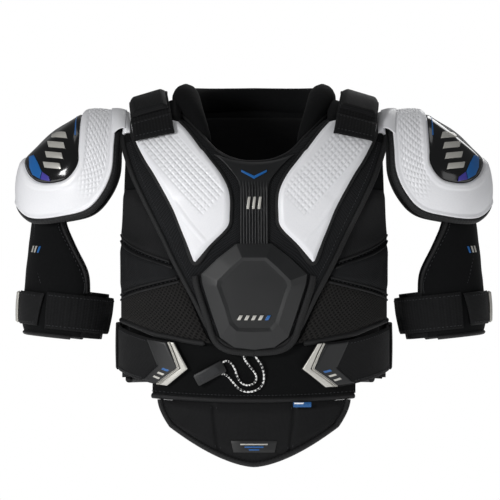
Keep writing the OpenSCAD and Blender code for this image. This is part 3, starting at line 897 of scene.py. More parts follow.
    def shield(self) -> None:
        """The bevelled sternum shield: a hexagonal rim, a sloping step and a raised centre."""
        rim = [(0, -262), (24, -259), (40, -247), (49, -220), (60, -184), (61.5, -172), (42, -152),
               (21, -135)]
        panel = [(0, -239), (20, -238), (28, -230), (33, -212), (42, -186), (41, -180), (27, -165),
                 (14, -153)]
        dish = [(0, -234), (18, -234), (24, -227), (29, -211), (37, -186), (36, -181), (24, -168),
                (12.5, -157)]
        rings = [([(0, -195)] * 8, 23.4), (dish, 23.4), (panel, 24.6), (rim, 17.6), (rim, 13.2)]
        rings = [(half + [(-x, z) for x, z in reversed(half[1:])], off) for half, off in rings]
        rings[3] = ([(x * 0.97, lerp(z, -195, 0.025)) for x, z in rings[3][0]], rings[3][1])
        corners = len(rings[0][0])

        def place(u: float, v: float) -> Vector:
            k, i = min(3, int(v * 4)), int(u * corners + 1e-6) % corners
            f, g = u * corners - int(u * corners + 1e-6), v * 4 - k
            points = []
            for half, off in rings[k : k + 2]:
                a, b = half[i], half[(i + 1) % corners]
                points.append(Vector((lerp(a[0], b[0], f), lerp(a[1], b[1], f), off)))
            p = points[0].lerp(points[1], g)
            return TORSO.front(*p)

        obj = mapped("sternum_shield_moulding", place, (corners * 8, 32), (360, 60), ring=True)
        thicken(obj, 1.6, 0.9)
        obj.modifiers["soft_edges"].angle_limit = math.radians(12)
        keep(obj, BLACK_PP, "black_shell", self.body, "sternum_shield")
        for i in range(5):
            x = -17 + i * 8
            bar = [(x - 2.6, -225), (x + 1.2, -225), (x + 4.2, -219.5), (x + 0.4, -219.5)]
            keep(block(f"shield_bar_{i + 1}", bar, TORSO.front, 23, 25.6, 0.2, 1), *accent(i == 4), self.body)
        below = [(x + 5 if x > 5 else x, z - 2.5) for x, z in rim[:6]]
        for side in Side:
            bind(f"shield_base_tape_{side.word}", front_track(below, 14.8, side), 4.0, 2.4, 80, self.body,
                 length=150)

    def side_panels(self, side: Side) -> None:
        """The foam panel, the quilted band and the open mesh beside the bib."""
        inner = [(z, x + 4) for x, z in BIB_EDGE[1:]]

        def reach(u: float, z: float) -> float:
            return lerp(lookup(z, inner), self.edge_x - 2, math.sin(u * math.pi / 2))

        def upper(u: float, v: float) -> Vector:
            z = lerp(lerp(-160, -124, u), -72, v)
            return on_front(side, reach(u, z), z, BIB - 4 + 3.6 * pillow(u, v, 50, 80, 12))

        def band(u: float, v: float) -> Vector:
            z = lerp(lerp(-177, -200, u), lerp(-163, -129, u), v)
            ripple = 0.5 * math.sin(u * 34) * math.sin(math.pi * v)
            return on_front(side, reach(u, z), z, BIB - 4 + (4.6 + ripple) * pillow(u, v, 70, 50, 12))

        def lower(u: float, v: float) -> Vector:
            top = lerp(-179, -203, u)
            x = reach(u, lerp(-243, top, v))
            z = lerp(vest_bottom(x) + 2, top, v)
            return on_front(side, x, z, BIB - 4 + 2.2 * pillow(u, v, 80, 40, 8))

        lay(f"side_pad_{side.word}_foam", upper, (44, 40), (60, 90), 3, 0.8, NYLON, "mesh_fabric",
            self.body, f"side_pad_{side.word}", fill=0.5)
        lay(f"side_band_quilt_{side.word}", band, (60, 30), (80, 50), 3, 0.8, PERFORATED, "mesh_fabric",
            self.body, fill=0.6)
        lay(f"side_mesh_{side.word}_net", lower, (50, 30), (90, 45), 2, 0.6, MESH, "mesh_fabric", self.body,
            f"side_mesh_{side.word}")
        rows = []
        for z0, z1 in ((-161.5, -126), (-178, -201.5)):
            rows.append(front_track([(reach(u, lerp(z0, z1, u)), lerp(z0, z1, u)) for u in
                                     (0.03, 0.25, 0.5, 0.75, 0.9)], 10.0, side))
        sew(f"side_stitching_{side.word}", rows, 85, self.body)
        for i, (z0, z1) in enumerate(((-158.5, -122), (-166, -131.5), (-176, -199), (-181, -205))):
            points = [(reach(u, lerp(z0, z1, u)), lerp(z0, z1, u)) for u in (0.02, 0.25, 0.5, 0.75, 0.95)]
            bind(f"side_piping_{side.word}_{i + 1}", front_track(points, 10.6, side), 1.5, 1.6, 50,
                 self.body, sides=8)
        hem = [(x, vest_bottom(x) + 1) for x in (58, 76, 95, 113, 130, 142, 150)]
        bind(f"vest_hem_tape_{side.word}", front_track(hem, 7.5, side), 3.6, 4.6, 80, self.body)

    def belly(self) -> None:
        """The belly panel below the vest, its hem, and the tongue that the extension pad hangs from."""

        def place(u: float, v: float) -> Vector:
            x = lerp(-self.belly_half, self.belly_half, u)
            low = self.belly_low - 5 * (1 - (2 * u - 1) ** 2)
            z = lerp(low, vest_bottom(x) - 1, v)
            wrinkle = 0.35 * noise.noise(Vector((x, z, 0)) / 19)
            return TORSO.front(x, z, 5.6 + 1.0 * pillow(u, v, 236, 60, 7) + wrinkle)

        lay("belly_panel_cloth", place, (90, 30), (236, 66), 5.6, 0.9, LOOP_PILE, "foam_liner", self.body,
            "belly_panel")
        hem = [(x, self.belly_low - 3 - 5 * (1 - (x / self.belly_half) ** 2)) for x in range(-118, 119, 18)]
        bind("belly_hem_tape", front_track(hem, 4.2), 3.4, 3.6, 120, self.body, "belly_binding")
        sew("belly_stitching", [front_track([(x, z + 6) for x, z in hem], 6.9)], 236, self.body)

        def tongue(u: float, v: float) -> Vector:
            x = lerp(-60, 60, u)
            return TORSO.front(x, lerp(-321, -284, v), -1.0)

        lay("extension_tongue_cloth", tongue, (30, 10), (120, 37), 3, 0.6, LOOP_PILE, "mesh_fabric",
            self.body, "extension_tongue")

        def label(u: float, v: float) -> Vector:
            return TORSO.front(lerp(45, 65, u), lerp(-330, -323.6, v), 14.6 + 1.0 * math.sin(math.pi * v))

        lay("woven_side_label", label, (16, 10), (20, 10), 1.0, 0.2, LABEL, "label", "extension",
            "side_label")
        stripe = [(46, -326), (56, -326), (57, -324.2), (46, -324.2)]
        keep(block("side_label_stripe", stripe, TORSO.front, 14.9, 15.9, 0.1, 1), WHITE_PE,
             "label", "extension")

    def bridge(self, side: Side) -> None:
        """The small white arch beside the cap, over its black shoulder pad."""

        def arch(u: float, v: float) -> Vector:
            x = lerp(142.8, 151.5, u)
            return side.put(TORSO.on(x, lerp(56, 88, v), 16 + 5 * pillow(u, v, 16, 60, 9)))

        def pad(u: float, v: float) -> Vector:
            x = lerp(128, 152, u)
            return side.put(TORSO.on(x, lerp(46, 90, v), 9 + 5 * pillow(u, v, 34, 80, 10)))

        lay(f"shoulder_arch_shell_{side.word}", arch, (20, 44), (17, 60), 3.2, 0.6, WHITE_PE, "white_shell",
            self.body, f"shoulder_arch_{side.word}")
        lay(f"shoulder_bolster_{side.word}", pad, (24, 40), (32, 80), 5, 1.0, TRICOT, "foam_liner",
            self.body, fill=0.5)

    def link(self, side: Side) -> None:
        """The flexible white tongue that joins the arch to the cap."""
        cap = Cap(side)

        def place(u: float, v: float) -> Vector:
            near = TORSO.on(146.5, lerp(58, 92, v), 21.4)
            x, y = (lerp(169, 172, v) - 190) / cap.radii[0], near.y / cap.radii[1]
            far = cap.surface(Vector((x, y, math.sqrt(1 - x * x - y * y))), 1.6)[0]
            return side.put(near).lerp(far, u) + Vector((0, 0, 2.4 * math.sin(math.pi * u) * (1 - 0.5 * v)))

        span(f"cap_link_{side.word}", place, (28, 36), (26, 60), 1.6, 0.5, WHITE_PE,
             inside=lambda p: Vector((p.x, 0, -60)))

    def strap(self, side: Side) -> None:
        """The shoulder strap, its keeper and its folded end."""
        width, crest_x, lean = 46.0, 119, 0.192

        def strap_x(u: float, s: float) -> float:
            drop = TORSO.crest(crest_x) - TORSO.skin(crest_x, s).z
            return crest_x - lean * drop + (u - 0.5) * width

        def at(u: float, s: float, off: float) -> Vector:
            return side.put(TORSO.on(strap_x(u, s), s, off))

        def upper(u: float, v: float) -> Vector:
            lift = 4 * smooth(v * 1.4)
            return at(u, lerp(57, 92, v), STRAP - 1.4 + lift + 1.2 * pillow(u, v, width, 60, 5))

        def fold(u: float, v: float) -> Vector:
            s = lerp(60.5, 84, v)
            off = STRAP + 1.5 + 4.5 * pillow(u, v, 42, 48, 6) + 3 * smooth(v * 1.4)
            return at(lerp(0.04, 0.96, u), s, off)

        lay(f"shoulder_strap_{side.word}_web", upper, (30, 40), (46, 62), 3.0, 0.7, ELASTIC, "webbing",
            self.body, f"shoulder_strap_{side.word}")
        lay(f"strap_fold_{side.word}", fold, (30, 34), (42, 46), 3.0, 0.9, NYLON, "webbing", self.body)

        def flap(u: float, v: float) -> Vector:
            return at(u, lerp(43.5, 57.5, v), STRAP - 1.2 + 1.6 * pillow(u, v, width, 26, 5))

        lay(f"strap_flap_{side.word}_web", flap, (30, 16), (46, 24), 3.4, 0.8, ELASTIC, "webbing",
            f"strap_flap_{side.word}", f"strap_flap_{side.word}")

        def row(v: float) -> Track:
            def track(t: float) -> tuple[Vector, Vector]:
                u, s = lerp(0.06, 0.94, t), lerp(43.5, 57.5, v)
                return at(u, s, STRAP + 0.5), side.put(TORSO.out(strap_x(u, s), s))

            return track

        sew(f"flap_stitching_{side.word}", [row(0.16), row(0.84)], 42, f"strap_flap_{side.word}")

    def collars(self) -> None:
        """The padded rolls beside the neck."""
        path = [(52, -86, -20, 3.4, 3.4), (60, -80, -4, 8, 7), (71, -58, 18, 12, 12),
                (80.5, -28, 34, 17, 16.5), (82, -4, 40, 16, 17.5)]
        left = roll("collar_roll_left", path, 40)
        puff(left, voxel=3.5, pressure=3, limit=1.6)
        right = mirrored(left, "collar_roll_right")
        for obj, side in ((left, Side.LEFT), (right, Side.RIGHT)):
            keep(obj, TRICOT, "shell_fabric", self.body, f"collar_pad_{side.word}", fill=0.8)

            def wedge(u: float, v: float, side: Side = side) -> Vector:
                off = 14 + 8 * pillow(u, v, 34, 60, 12)
                return side.put(TORSO.on(lerp(84, 101, u), lerp(52, 80, v), off))

            lay(f"collar_wedge_{side.word}", wedge, (24, 40), (18, 50), 9, 1.2, TRICOT, "foam_liner",
                self.body, fill=0.6)


def roll(name: str, path: Sequence[Point], steps: int, sides: int = 20) -> bpy.types.Object:
    """A closed soft roll along a path of (x, y, z, half width, half height)."""

    def split(t: float) -> tuple[Vector, float, float]:
        p = [Vector((q[0], q[1], q[2])) for q in path]
        at = through(p, t)
        wide = through([(q[3], q[4], 0) for q in path], t)
        return at, wide.x, wide.y

    bm = bmesh.new()
    bmesh.ops.create_grid(bm, x_segments=steps, y_segments=sides, size=0.5)
    for vert in bm.verts:
        t = round((vert.co.x + 0.5) * steps) / steps
        at, wide, high = split(t)
        along = (split(min(1, t + 0.01))[0] - split(max(0, t - 0.01))[0]).normalized()
        across = along.cross(Vector((0, 0, 1))).normalized()
        up = across.cross(along)
        close = smooth(min(t, 1 - t) / 0.05 + 0.35)
        a = math.tau * (vert.co.y + 0.5)
        vert.co = at + across * wide * close * math.cos(a) + up * high * close * math.sin(a)
    bmesh.ops.remove_doubles(bm, verts=bm.verts, dist=0.01)
    bmesh.ops.holes_fill(bm, edges=[e for e in bm.edges if e.is_boundary], sides=0)
    bmesh.ops.recalc_face_normals(bm, faces=bm.faces)
    return finish_mesh(name, bm)


# ---------------------------------------------------------------- the drawcord
ROUTE = [
    (-12, -117, -268), (-12, -121, -268.5), (-11.5, -124, -272), (-9, -123, -277),
    (-4.5, -120.5, -282.5), (0, -118.5, -288), (2.5, -118, -294), (1, -117.5, -300.5),
    (-4.5, -117, -304), (-11, -117, -303.5), (-16.5, -117, -299.5), (-20.5, -117.5, -292.5),
    (-23, -118, -284.5), (-27, -118, -278), (-32.5, -117.5, -275.5), (-37.5, -117, -277.5),
    (-41.5, -117, -281), (-43, -117, -286), (-40, -117, -290), (-35, -117, -291.5),
    (-30, -117, -294.5), (-25.5, -116.5, -300), (-20.5, -116.5, -306), (-14, -116, -310.5),
    (-6, -116, -312), (2, -116, -310.5), (8.5, -116.5, -305.5), (11.5, -117.5, -297.5),
    (11.5, -119, -289), (9, -121.5, -281), (4.5, -124, -274.5), (1.5, -122, -268.8),
    (1.5, -117, -268),
]


@dataclass
class Drawcord:
    """The speckled drawcord below the bib, and its pull tab."""

    diameter: float = 2.4
    tab_angle: float = 28

    def build(self) -> None:
        track = lambda t: (through(ROUTE, t), Vector((0, -1, 0.001)))
        path = [through(ROUTE, i / 160) * MM for i in range(161)]
        length = sum((b - a).length for a, b in zip(path, path[1:]))
        radius = self.diameter / 2
        cord = trim("drawcord_braid", track, radius, radius, 320, sides=10, length=length / MM)
        dress(cord, self.braid())
        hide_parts("drawcord")
        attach(cord, "chest")
        tab = self.tab()
        tuple(path[0])
        [tuple(p) for p in path]
        LOG.info("drawcord is %.0f mm long", length / MM)
        dress(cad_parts["cord_eyelets"], ANODISED)

    def braid(self) -> bpy.types.Material:
        """Braided polyester: black and white yarns, so that the cord looks speckled."""
        made = bpy.data.materials.new("speckled_braided_polyester")
        made.use_nodes = True
        tree = made.node_tree
        tree.nodes.clear()
        source = add(tree, "TexCoord")
        twist = add(tree, "Mapping", {"Vector": source.outputs["UV"]})
        twist.inputs["Scale"].default_value = (1 / 0.0026, 1 / 0.0038, 1)
        twist.inputs["Rotation"].default_value = (0, 0, math.radians(35))
        check = add(tree, "TexChecker", {"Vector": twist.outputs[0]}, Scale=1.0)
        check.inputs["Color1"].default_value = linear("#e8e8e6")
        check.inputs["Color2"].default_value = linear("#1b1c1e")
        bump = add(tree, "Bump", {"Height": check.outputs["Fac"]}, Strength=0.6, Distance=0.0003)
        links = {"Base Color": check.outputs["Color"], "Normal": bump.outputs[0]}
        shader = add(tree, "BsdfPrincipled", links, Roughness=0.75, Sheen_Weight=0.2)
        add(tree, "OutputMaterial", {"Surface": shader.outputs[0]})
        return made

    def tab(self) -> list[bpy.types.Object]:
        """The moulded pull tab, with a lighter woven centre."""
        turn = Matrix.Rotation(-math.radians(self.tab_angle), 4, "Y")

        def place(a: float, b: float, h: float) -> Vector:
            return Vector((-54, -114.4, -291)) + turn @ Vector((a, -h, b))

        outline = [(-17, -6), (-15.6, -7.5), (19.6, -7.5), (21, -6), (21, 6), (19.6, 7.5), (-15.6, 7.5),
                   (-17, 6)]
        frame_piece = block("pull_tab_moulding", outline, place, 0.0, 4.6, 0.9)
        keep(frame_piece, BLACK_PP, "webbing", "chest", "pull_tab")
        centre = [(-13, -4.2), (13, -4.2), (13, 4.2), (-13, 4.2)]
        woven = block("pull_tab_centre", centre, place, 4.2, 5.2, 0.35, 2)
        keep(woven, WOVEN_GREY, "webbing", "chest")
        return [frame_piece, woven]


# ---------------------------------------------------------------- the back
@dataclass
class Back:
    """The back of the vest: liner, plates, spine guard, collar, hang loop and side bands."""

    body: str = "back"
    edge_x: float = 151
    low: float = -300

    def build(self) -> None:
        """Make every piece of the back."""
        self.liner()
        self.spine()
        self.collar()
        for side in Side:
            self.plate(side)
            self.band(side)

    def liner(self) -> None:
        """The quilted foam back, with its edges bound."""

        def place(u: float, v: float) -> Vector:
            x = self.edge_x * math.sin(math.pi * (u - 0.5))
            top = 180 - CREST_STOP
            if abs(x) < NECK_SIDE:
                top = 180 - TORSO.station(x, lookup(abs(x), BACK_NECK_LINE))
            s = lerp(180 + (TORSO.arch_z - self.low), top, v)
            quilt = max(0.0, 1 - abs(((v * 9) % 1) - 0.5) * 14) * (0 if abs(x) < 30 else 1)
            return TORSO.on(x, s, LINER - 3 + 3 * pillow(u, v, 330, 300, 9) - 1.1 * quilt)

        lay("back_liner_foam", place, (80, 130), (330, 330), 6, 1.2, TRICOT, "foam_liner", self.body,
            "back_liner")
        hem = [(x, self.low - 0.5) for x in range(-148, 149, 16)]
        hem_track = self.track(hem, 4)
        bind("back_hem_tape", hem_track, 4.4, 4.4, 110, self.body)
        for side in Side:
            flank = [(side.value * 151.5, z) for z in (-298, -250, -200, -150, -112)]
            bind(f"back_flank_tape_{side.word}", self.track(flank, 3.5), 2.4, 4.6, 50, self.body)

    def track(self, points: Sequence[Point], off: float) -> Track:
        """A track along a smooth outline on the back."""

        def along(t: float) -> tuple[Vector, Vector]:
            p = through(points, t)
            s = 180 - TORSO.station(p.x, p.y)
            return TORSO.on(p.x, s, off), TORSO.out(p.x, s)

        return along

    def plate(self, side: Side) -> None:
        """One moulded shoulder-blade plate, with three raised ridges."""
        outer = [(104, 8), (122, -10), (132, -40), (130, -75), (112, -110), (84, -140)]
        inner = [(74, 2), (58, -20), (44, -48), (38, -80), (40, -110), (54, -140)]

        def place(u: float, v: float) -> Vector:
            p = through(inner, v).lerp(through(outer, v), u)
            full = pillow(u, v, 70, 160, 8)
            ridge = 1.6 * smooth(1 - abs(((v * 4 + u * 0.7) % 1) - 0.5) / 0.16)
            return side.put(TORSO.back(p.x, p.y, 11.2 + (3.2 + ridge) * full))

        lay(f"back_plate_{side.word}_shell", place, (60, 110), (70, 160), 3.4, 0.7, WHITE_PE, "white_shell",
            self.body, f"back_plate_{side.word}")
        outline = inner + list(reversed(outer))
        signed = [(side.value * x, z) for x, z in outline]

        def loop(t: float) -> tuple[Vector, Vector]:
            p = around(signed, t)
            s = 180 - TORSO.station(p.x, p.y)
            return TORSO.on(p.x, s, 8.6), TORSO.out(p.x, s)

        bind(f"back_plate_tape_{side.word}", loop, 4.6, 2.0, 160, self.body, closed=True, length=440)

    def spine(self) -> None:
        """The spine guard: overlapping moulded scales on a padded strip."""
        edge = [(27, -2), (27, -50), (28, -100), (34, -150), (40, -200), (34, -250), (20, -286)]

        def pad(u: float, v: float) -> Vector:
            p = through(edge, v)
            x = (2 * u - 1) * p.x
            return TORSO.back(x, p.y, 8.6 + 2.6 * pillow(u, v, 60, 280, 8))

        lay("spine_guard_pad", pad, (30, 120), (64, 284), 2.6, 0.7, PERFORATED, "black_shell", self.body,
            "spine_guard", fill=0.6)
        scales = 7
        for i in range(scales):
            v0, v1 = 0.03 + i * 0.135, 0.03 + i * 0.135 + 0.118

            def scale(u: float, v: float, v0: float = v0, v1: float = v1) -> Vector:
                p = through(edge, lerp(v0, v1, v))
                x = (2 * u - 1) * (p.x - 7)
                rise = 2.6 * pillow(u, v, 46, 33, 6) + 1.6 * (1 - abs(2 * u - 1))
                return TORSO.back(x, p.y, 12.4 + rise)

            lay(f"spine_scale_{i + 1}", scale, (30, 20), (48, 33), 2.2, 0.6, BLACK_PP, "black_shell",
                self.body)

    def collar(self) -> None:
        """The padded roll behind the neck and the hang loop on it."""
        path = [(84, 5, 39, 12, 16.5), (79, 34, 37, 12, 16.5), (52, 66, 36, 12, 17.5), (0, 80, 36, 12, 18.5),
                (-52, 66, 36, 12, 17.5), (-79, 34, 37, 12, 16.5), (-84, 5, 39, 12, 16.5)]
        obj = puff(roll("collar_roll_back", path, 72), voxel=4, pressure=3, limit=1.4)
        keep(obj, TRICOT, "shell_fabric", self.body, "collar_back", fill=0.8)

        def stand(u: float, v: float) -> Vector:
            top = through([Vector(q[:3]) for q in path], lerp(0.07, 0.93, u)) - Vector((0, 0, 7))
            return TORSO.back(top.x, 9, 5).lerp(top, v)

        axis = lambda p: Vector((0, 0, p.z))
        lay("collar_back_panel", stand, (80, 16), (240, 30), 5, 1.0, TRICOT, "foam_liner", self.body,
            inside=axis, fill=0.5)

        def web(u: float, v: float) -> Vector:
            a = math.pi * u
            return Vector((17.6 * math.cos(a), 93.0 + 17.6 * math.sin(a), 30.4 + 9.2 * v))

        middle = lambda p: Vector((0, 93, p.z))
        lay("hang_loop_web", web, (40, 6), (55, 9), 1.4, 0.3, TAPE, "webbing", self.body, "hang_loop",
            inside=middle)

    def band(self, side: Side) -> None:
        """The elastic side band from the back to the belly strap."""

        def place(u: float, v: float) -> Vector:
            a = lerp(80, 158, u)
            z = strap_mid(a) + (v - 0.5) * 54
            return side.put(TORSO.ring(a, z, 13.2 + 0.5 * math.sin(v * math.pi) + 0.25 * math.sin(u * 90)))

        lay(f"side_band_{side.word}_elastic", place, (110, 24), (170, 54), 3.4, 0.6, ELASTIC, "webbing",
            self.body, f"side_band_{side.word}")


# ---------------------------------------------------------------- belly straps
def strap_mid(angle: float) -> float:
    """Height of the belly strap's middle at an angle round the torso."""
    return lerp(-281, -258, smooth((angle - 20) / 75))


@dataclass
class BellyStrap:
    """The free end of one belly strap, with its moulded end and silver chevron."""

    side: Side
    height: float = 54
    start: float = 77.5

    def end(self, v: float) -> float:
        """Angle of the strap's end at height share v."""
        reach = -4 if self.side is Side.LEFT else 4
        return lookup(v, [(0, 30), (0.43, 19), (1, 26)]) + reach

    def at(self, angle: float, v: float, off: float) -> Vector:
        """A point off the torso on the strap."""
        return self.side.put(TORSO.ring(angle, strap_mid(angle) + (v - 0.5) * self.height, off))

    def build(self) -> None:
        """Make the strap, its moulded end, the chevron's stripes and the stitching."""
        word = self.side.word
        body = f"belly_strap_{word}"

        def web(u: float, v: float) -> Vector:
            return self.at(lerp(self.end(v), self.start, u), v, 12.0 + 1.4 * pillow(u, v, 110, 54, 4))

        lay(f"belly_strap_{word}_web", web, (90, 30), (120, 54), 3.2, 0.6, NYLON, "webbing", body,
            f"belly_strap_{word}")

        def bridge(u: float, v: float) -> Vector:
            return self.at(lerp(74, 84, u), lerp(0.04, 0.96, v), 10.6)

        ends = tuple(tuple(self.at(a, 0.5, 10) * MM) for a in (81, 76))
        span(f"belly_strap_{word}_elastic", bridge, (30, 16), (22, 50), 1.6, 0.3, ELASTIC)

        def moulded(u: float, v: float) -> Vector:
            v = lerp(0.035, 0.965, v)
            off = 13.2 + 1.3 * pillow(u, v, 30, 50, 4)
            return self.at(self.end(v) + lerp(4.6, 17, u), v, off)

        lay(f"strap_end_moulding_{word}", moulded, (30, 40), (30, 50), 1.8, 0.4, RIB_PU, "webbing", body)
        stripes = ((0.4, 5.0, 2.4), (5.4, 5.9, 3.4), (6.3, 6.7, 3.8))
        for i, (a0, a1, low) in enumerate(stripes):

            def stripe(u: float, v: float, i: int = i, a0: float = a0, a1: float = a1,
                       low: float = low) -> Vector:
                v = lerp(0.02, 0.98, v)
                narrowing = (low - a1) * smooth(v)
                inner = a0 + (0 if i == 0 else narrowing)
                full = pillow(u, v, 8, 50, 1.5)
                return self.at(self.end(v) + lerp(inner, a1 + narrowing, u), v, 14.2 + full - 0.2 * i)

            nodes = (f"strap_trim_{word}",) if i == 0 else ()
            lay(f"strap_chevron_{word}_{i + 1}", stripe, (8, 60), (8, 54), 1.4, 0.25, SILVER, "silver_trim",
                body, *nodes)
        for i in range(3):

            def mark(u: float, v: float, i: int = i) -> Vector:
                v = lerp(0.13 + 0.1 * i, 0.17 + 0.1 * i, v)
                return self.at(self.end(v) + lerp(8, 11.5, u), v + 0.03 * u, 15.0)

            lay(f"strap_mark_{word}_{i + 1}", mark, (10, 3), (12, 3), 0.8, 0.1, *accent(i == 2), body)

        def row(v: float) -> Track:
            def track(t: float) -> tuple[Vector, Vector]:
                a = lerp(self.end(v) + 18, self.start - 2, t)
                return self.at(a, v, 13.7), (self.at(a, v, 20) - self.at(a, v, 10)).normalized()

            return track

        sew(f"belly_strap_stitching_{word}", [row(0.08), row(0.92)], 78, body)


# ---------------------------------------------------------------- shoulder caps
RIM = [(0.985, 0, -0.17), (0.796, -0.498, -0.343), (0.398, -0.858, -0.323), (0.09, -0.966, -0.24),
       (-0.1, -0.994, -0.04), (-0.214, -0.951, 0.222), (-0.24, -0.8, 0.55), (-0.26, -0.42, 0.87),
       (-0.275, 0, 0.961)]
INSET = [(0.9, 0, 0.435), (0.816, -0.552, 0.172), (0.633, -0.77, 0.081), (0.367, -0.922, 0.121),
         (0.214, -0.929, 0.303), (0.2, -0.84, 0.5), (0.192, -0.68, 0.71), (0.18, -0.4, 0.9),
         (0.166, 0, 0.986)]


def both_halves(points: Sequence[Point]) -> list[Point]:
    """A closed outline from its front half."""
    return list(points) + [(x, -y, z) for x, y, z in reversed(points[1:-1])]


@dataclass
class Cap:
    """One shoulder cap: a white domed shell with a gloss inlay, over a foam liner."""

    side: Side
    centre: tuple[float, float, float] = (190, 0, -72)
    radii: tuple[float, float, float] = (98, 86, 99)
    flat: float = 0.1
    rim_length: float = 440
    shell_width: float = 62
    facet_pitch: float = 8.8
    groove_depth: float = 1.1

    def __post_init__(self) -> None:
        """Work out the pole and the two outlines once."""
        self.pole = Vector((0.611, 0, 0.79)).normalized()
        self.rim = both_halves(RIM)
        self.inset = both_halves(INSET)
        self.body = f"cap_{self.side.word}"

    def middle(self, p: Vector) -> Vector:
        """The dome's centre, on this side."""
        return self.side.put(Vector(self.centre))

    def surface(self, direction: Vector, off: float) -> tuple[Vector, Vector]:
        """The dome's point in a direction and its outward direction, on this side."""
        d = direction.normalized()
        flat = 1 - self.flat * smooth((d.dot(self.pole) - 0.8) / 0.2)
        out = Vector([c / r for c, r in zip(d, self.radii)]).normalized()
        at = Vector(self.centre) + Vector([c * r for c, r in zip(d, self.radii)]) * flat + off * out
        return self.side.put(at), self.side.put(out)

    def direction(self, t: float, w: float) -> Vector:
        """Direction for t round the cap and w: 0 at the pole, 1 at the inlay's edge and 2 at the rim."""
        inner = around(self.inset, t).normalized()
        if w <= 1:
            return self.pole.lerp(inner, w)
        return inner.lerp(around(self.rim, t).normalized(), w - 1)

    def dome(self, name: str, w0: float, w1: float, height: Callable[[float, float], float],
             steps: tuple[int, int]) -> bpy.types.Object:
        """A ring or a dish of the dome between two values of w."""

        def place(u: float, v: float) -> Vector:
            w = lerp(w0, w1, v)
            return self.surface(self.direction(u, w), height(u, w))[0]

        return mapped(name, place, steps, (420, 120), self.middle, ring=True)

    def build(self) -> None:
        """Make the cap's pieces."""
        word = self.side.word

        def shell(t: float, w: float) -> float:
            d = self.direction(t, w).normalized()
            lip = 1.4 * smooth((w - 1.86) / 0.1) - 3.0 * smooth((w - 1.96) / 0.05)
            step = -2.2 * (1 - smooth((w - 1.0) / 0.05))
            bead = 0.7 * (smooth((w - 1.05) / 0.04) - smooth((w - 1.16) / 0.1))
            near_neck = smooth((0.25 - d.x) / 0.2) * smooth((d.z + 0.2) / 0.3)
            patch = near_neck * smooth((w - 1.15) / 0.1) * smooth((1.85 - w) / 0.1)
            return lip + step + bead - patch * self.groove_depth * groove(
                t * self.rim_length, w * self.shell_width, self.facet_pitch, 1.0)

        obj = self.dome(f"cap_shell_{word}_moulding", 1.0, 2.0, shell, (320, 84))
        keep(thicken(obj, 3.4, 0.7), WHITE_PE, "white_shell", self.body, f"cap_shell_{word}")
        inlay = self.dome(f"cap_inlay_{word}", 0.0, 0.985, lambda t, w: -2.6 + 1.8 * smooth((1 - w) / 0.12),
                          (120, 30))
        keep(thicken(inlay, 2.4, 0.3), GLOSS, "gloss_panel", self.body, f"cap_inset_{word}")
        liner = self.dome(f"cap_liner_{word}_foam", 0.0, 1.97,
                          lambda t, w: -5.4 - 1.5 * smooth((w - 1.85) / 0.1), (96, 60))
        keep(thicken(liner, 6, 1.0), TRICOT, "foam_liner", self.body, f"cap_liner_{word}", fill=0.5)

        def rim_track(w: float, off: float) -> Track:
            return lambda t: self.surface(self.direction(t, w), off)

        bind(f"cap_binding_{word}_tape", rim_track(2.055, -3.6), 5.2, 4.0, 220, self.body,
             f"cap_binding_{word}", closed=True, length=430)
        sew(f"cap_stitching_{word}", [rim_track(2.05, 0.3)], 430, self.body)
        self.marks()

    def bar(self, name: str, corners: Sequence[Point], low: float, high: float) -> bpy.types.Object:
        """A raised bar on the inlay; its corners are millimetres across and up from the dome's centre."""

        def place(a: float, b: float, h: float) -> Vector:
            x, z = a / self.radii[0], b / self.radii[2]
            return self.surface(Vector((x, -math.sqrt(max(0.02, 1 - x * x - z * z)), z)), h)[0]

        return block(name, corners, place, low, high, 0.12, 3)

    def marks(self) -> None:
        """The inlay's plain slanted bars and its two-colour stripe."""
        word = self.side.word
        for i in range(4):
            x, z = 51 - 2.2 * i, 29 + 12.5 * i
            bar = [(x - 11, z - 4.5), (x - 9, z + 2.5), (x + 11, z + 4.5), (x + 9, z - 2.5)]
            keep(self.bar(f"cap_bar_{word}_{i + 1}", bar, -1.9, 0.6), SILVER, "silver_trim", self.body)
        stripe = [(66, 13), (75, 18), (79, 27), (80, 40), (74, 42), (69, 33), (64, 22)]
        keep(self.bar(f"cap_stripe_{word}", stripe, -1.6, 0.2), BLUE, "blue_trim", self.body)
        second = [(54, 10), (65, 12.4), (63, 21.5), (55, 15.5)]
        keep(self.bar(f"cap_stripe_{word}_end", second, -1.6, 0.2), VIOLET, "blue_trim", self.body)
        streak = [(23, 66), (24.6, 66), (24, 92), (23, 92)]
        keep(self.bar(f"cap_streak_{word}", streak, -1.6, 0.0), BLUE, "blue_trim", self.body)


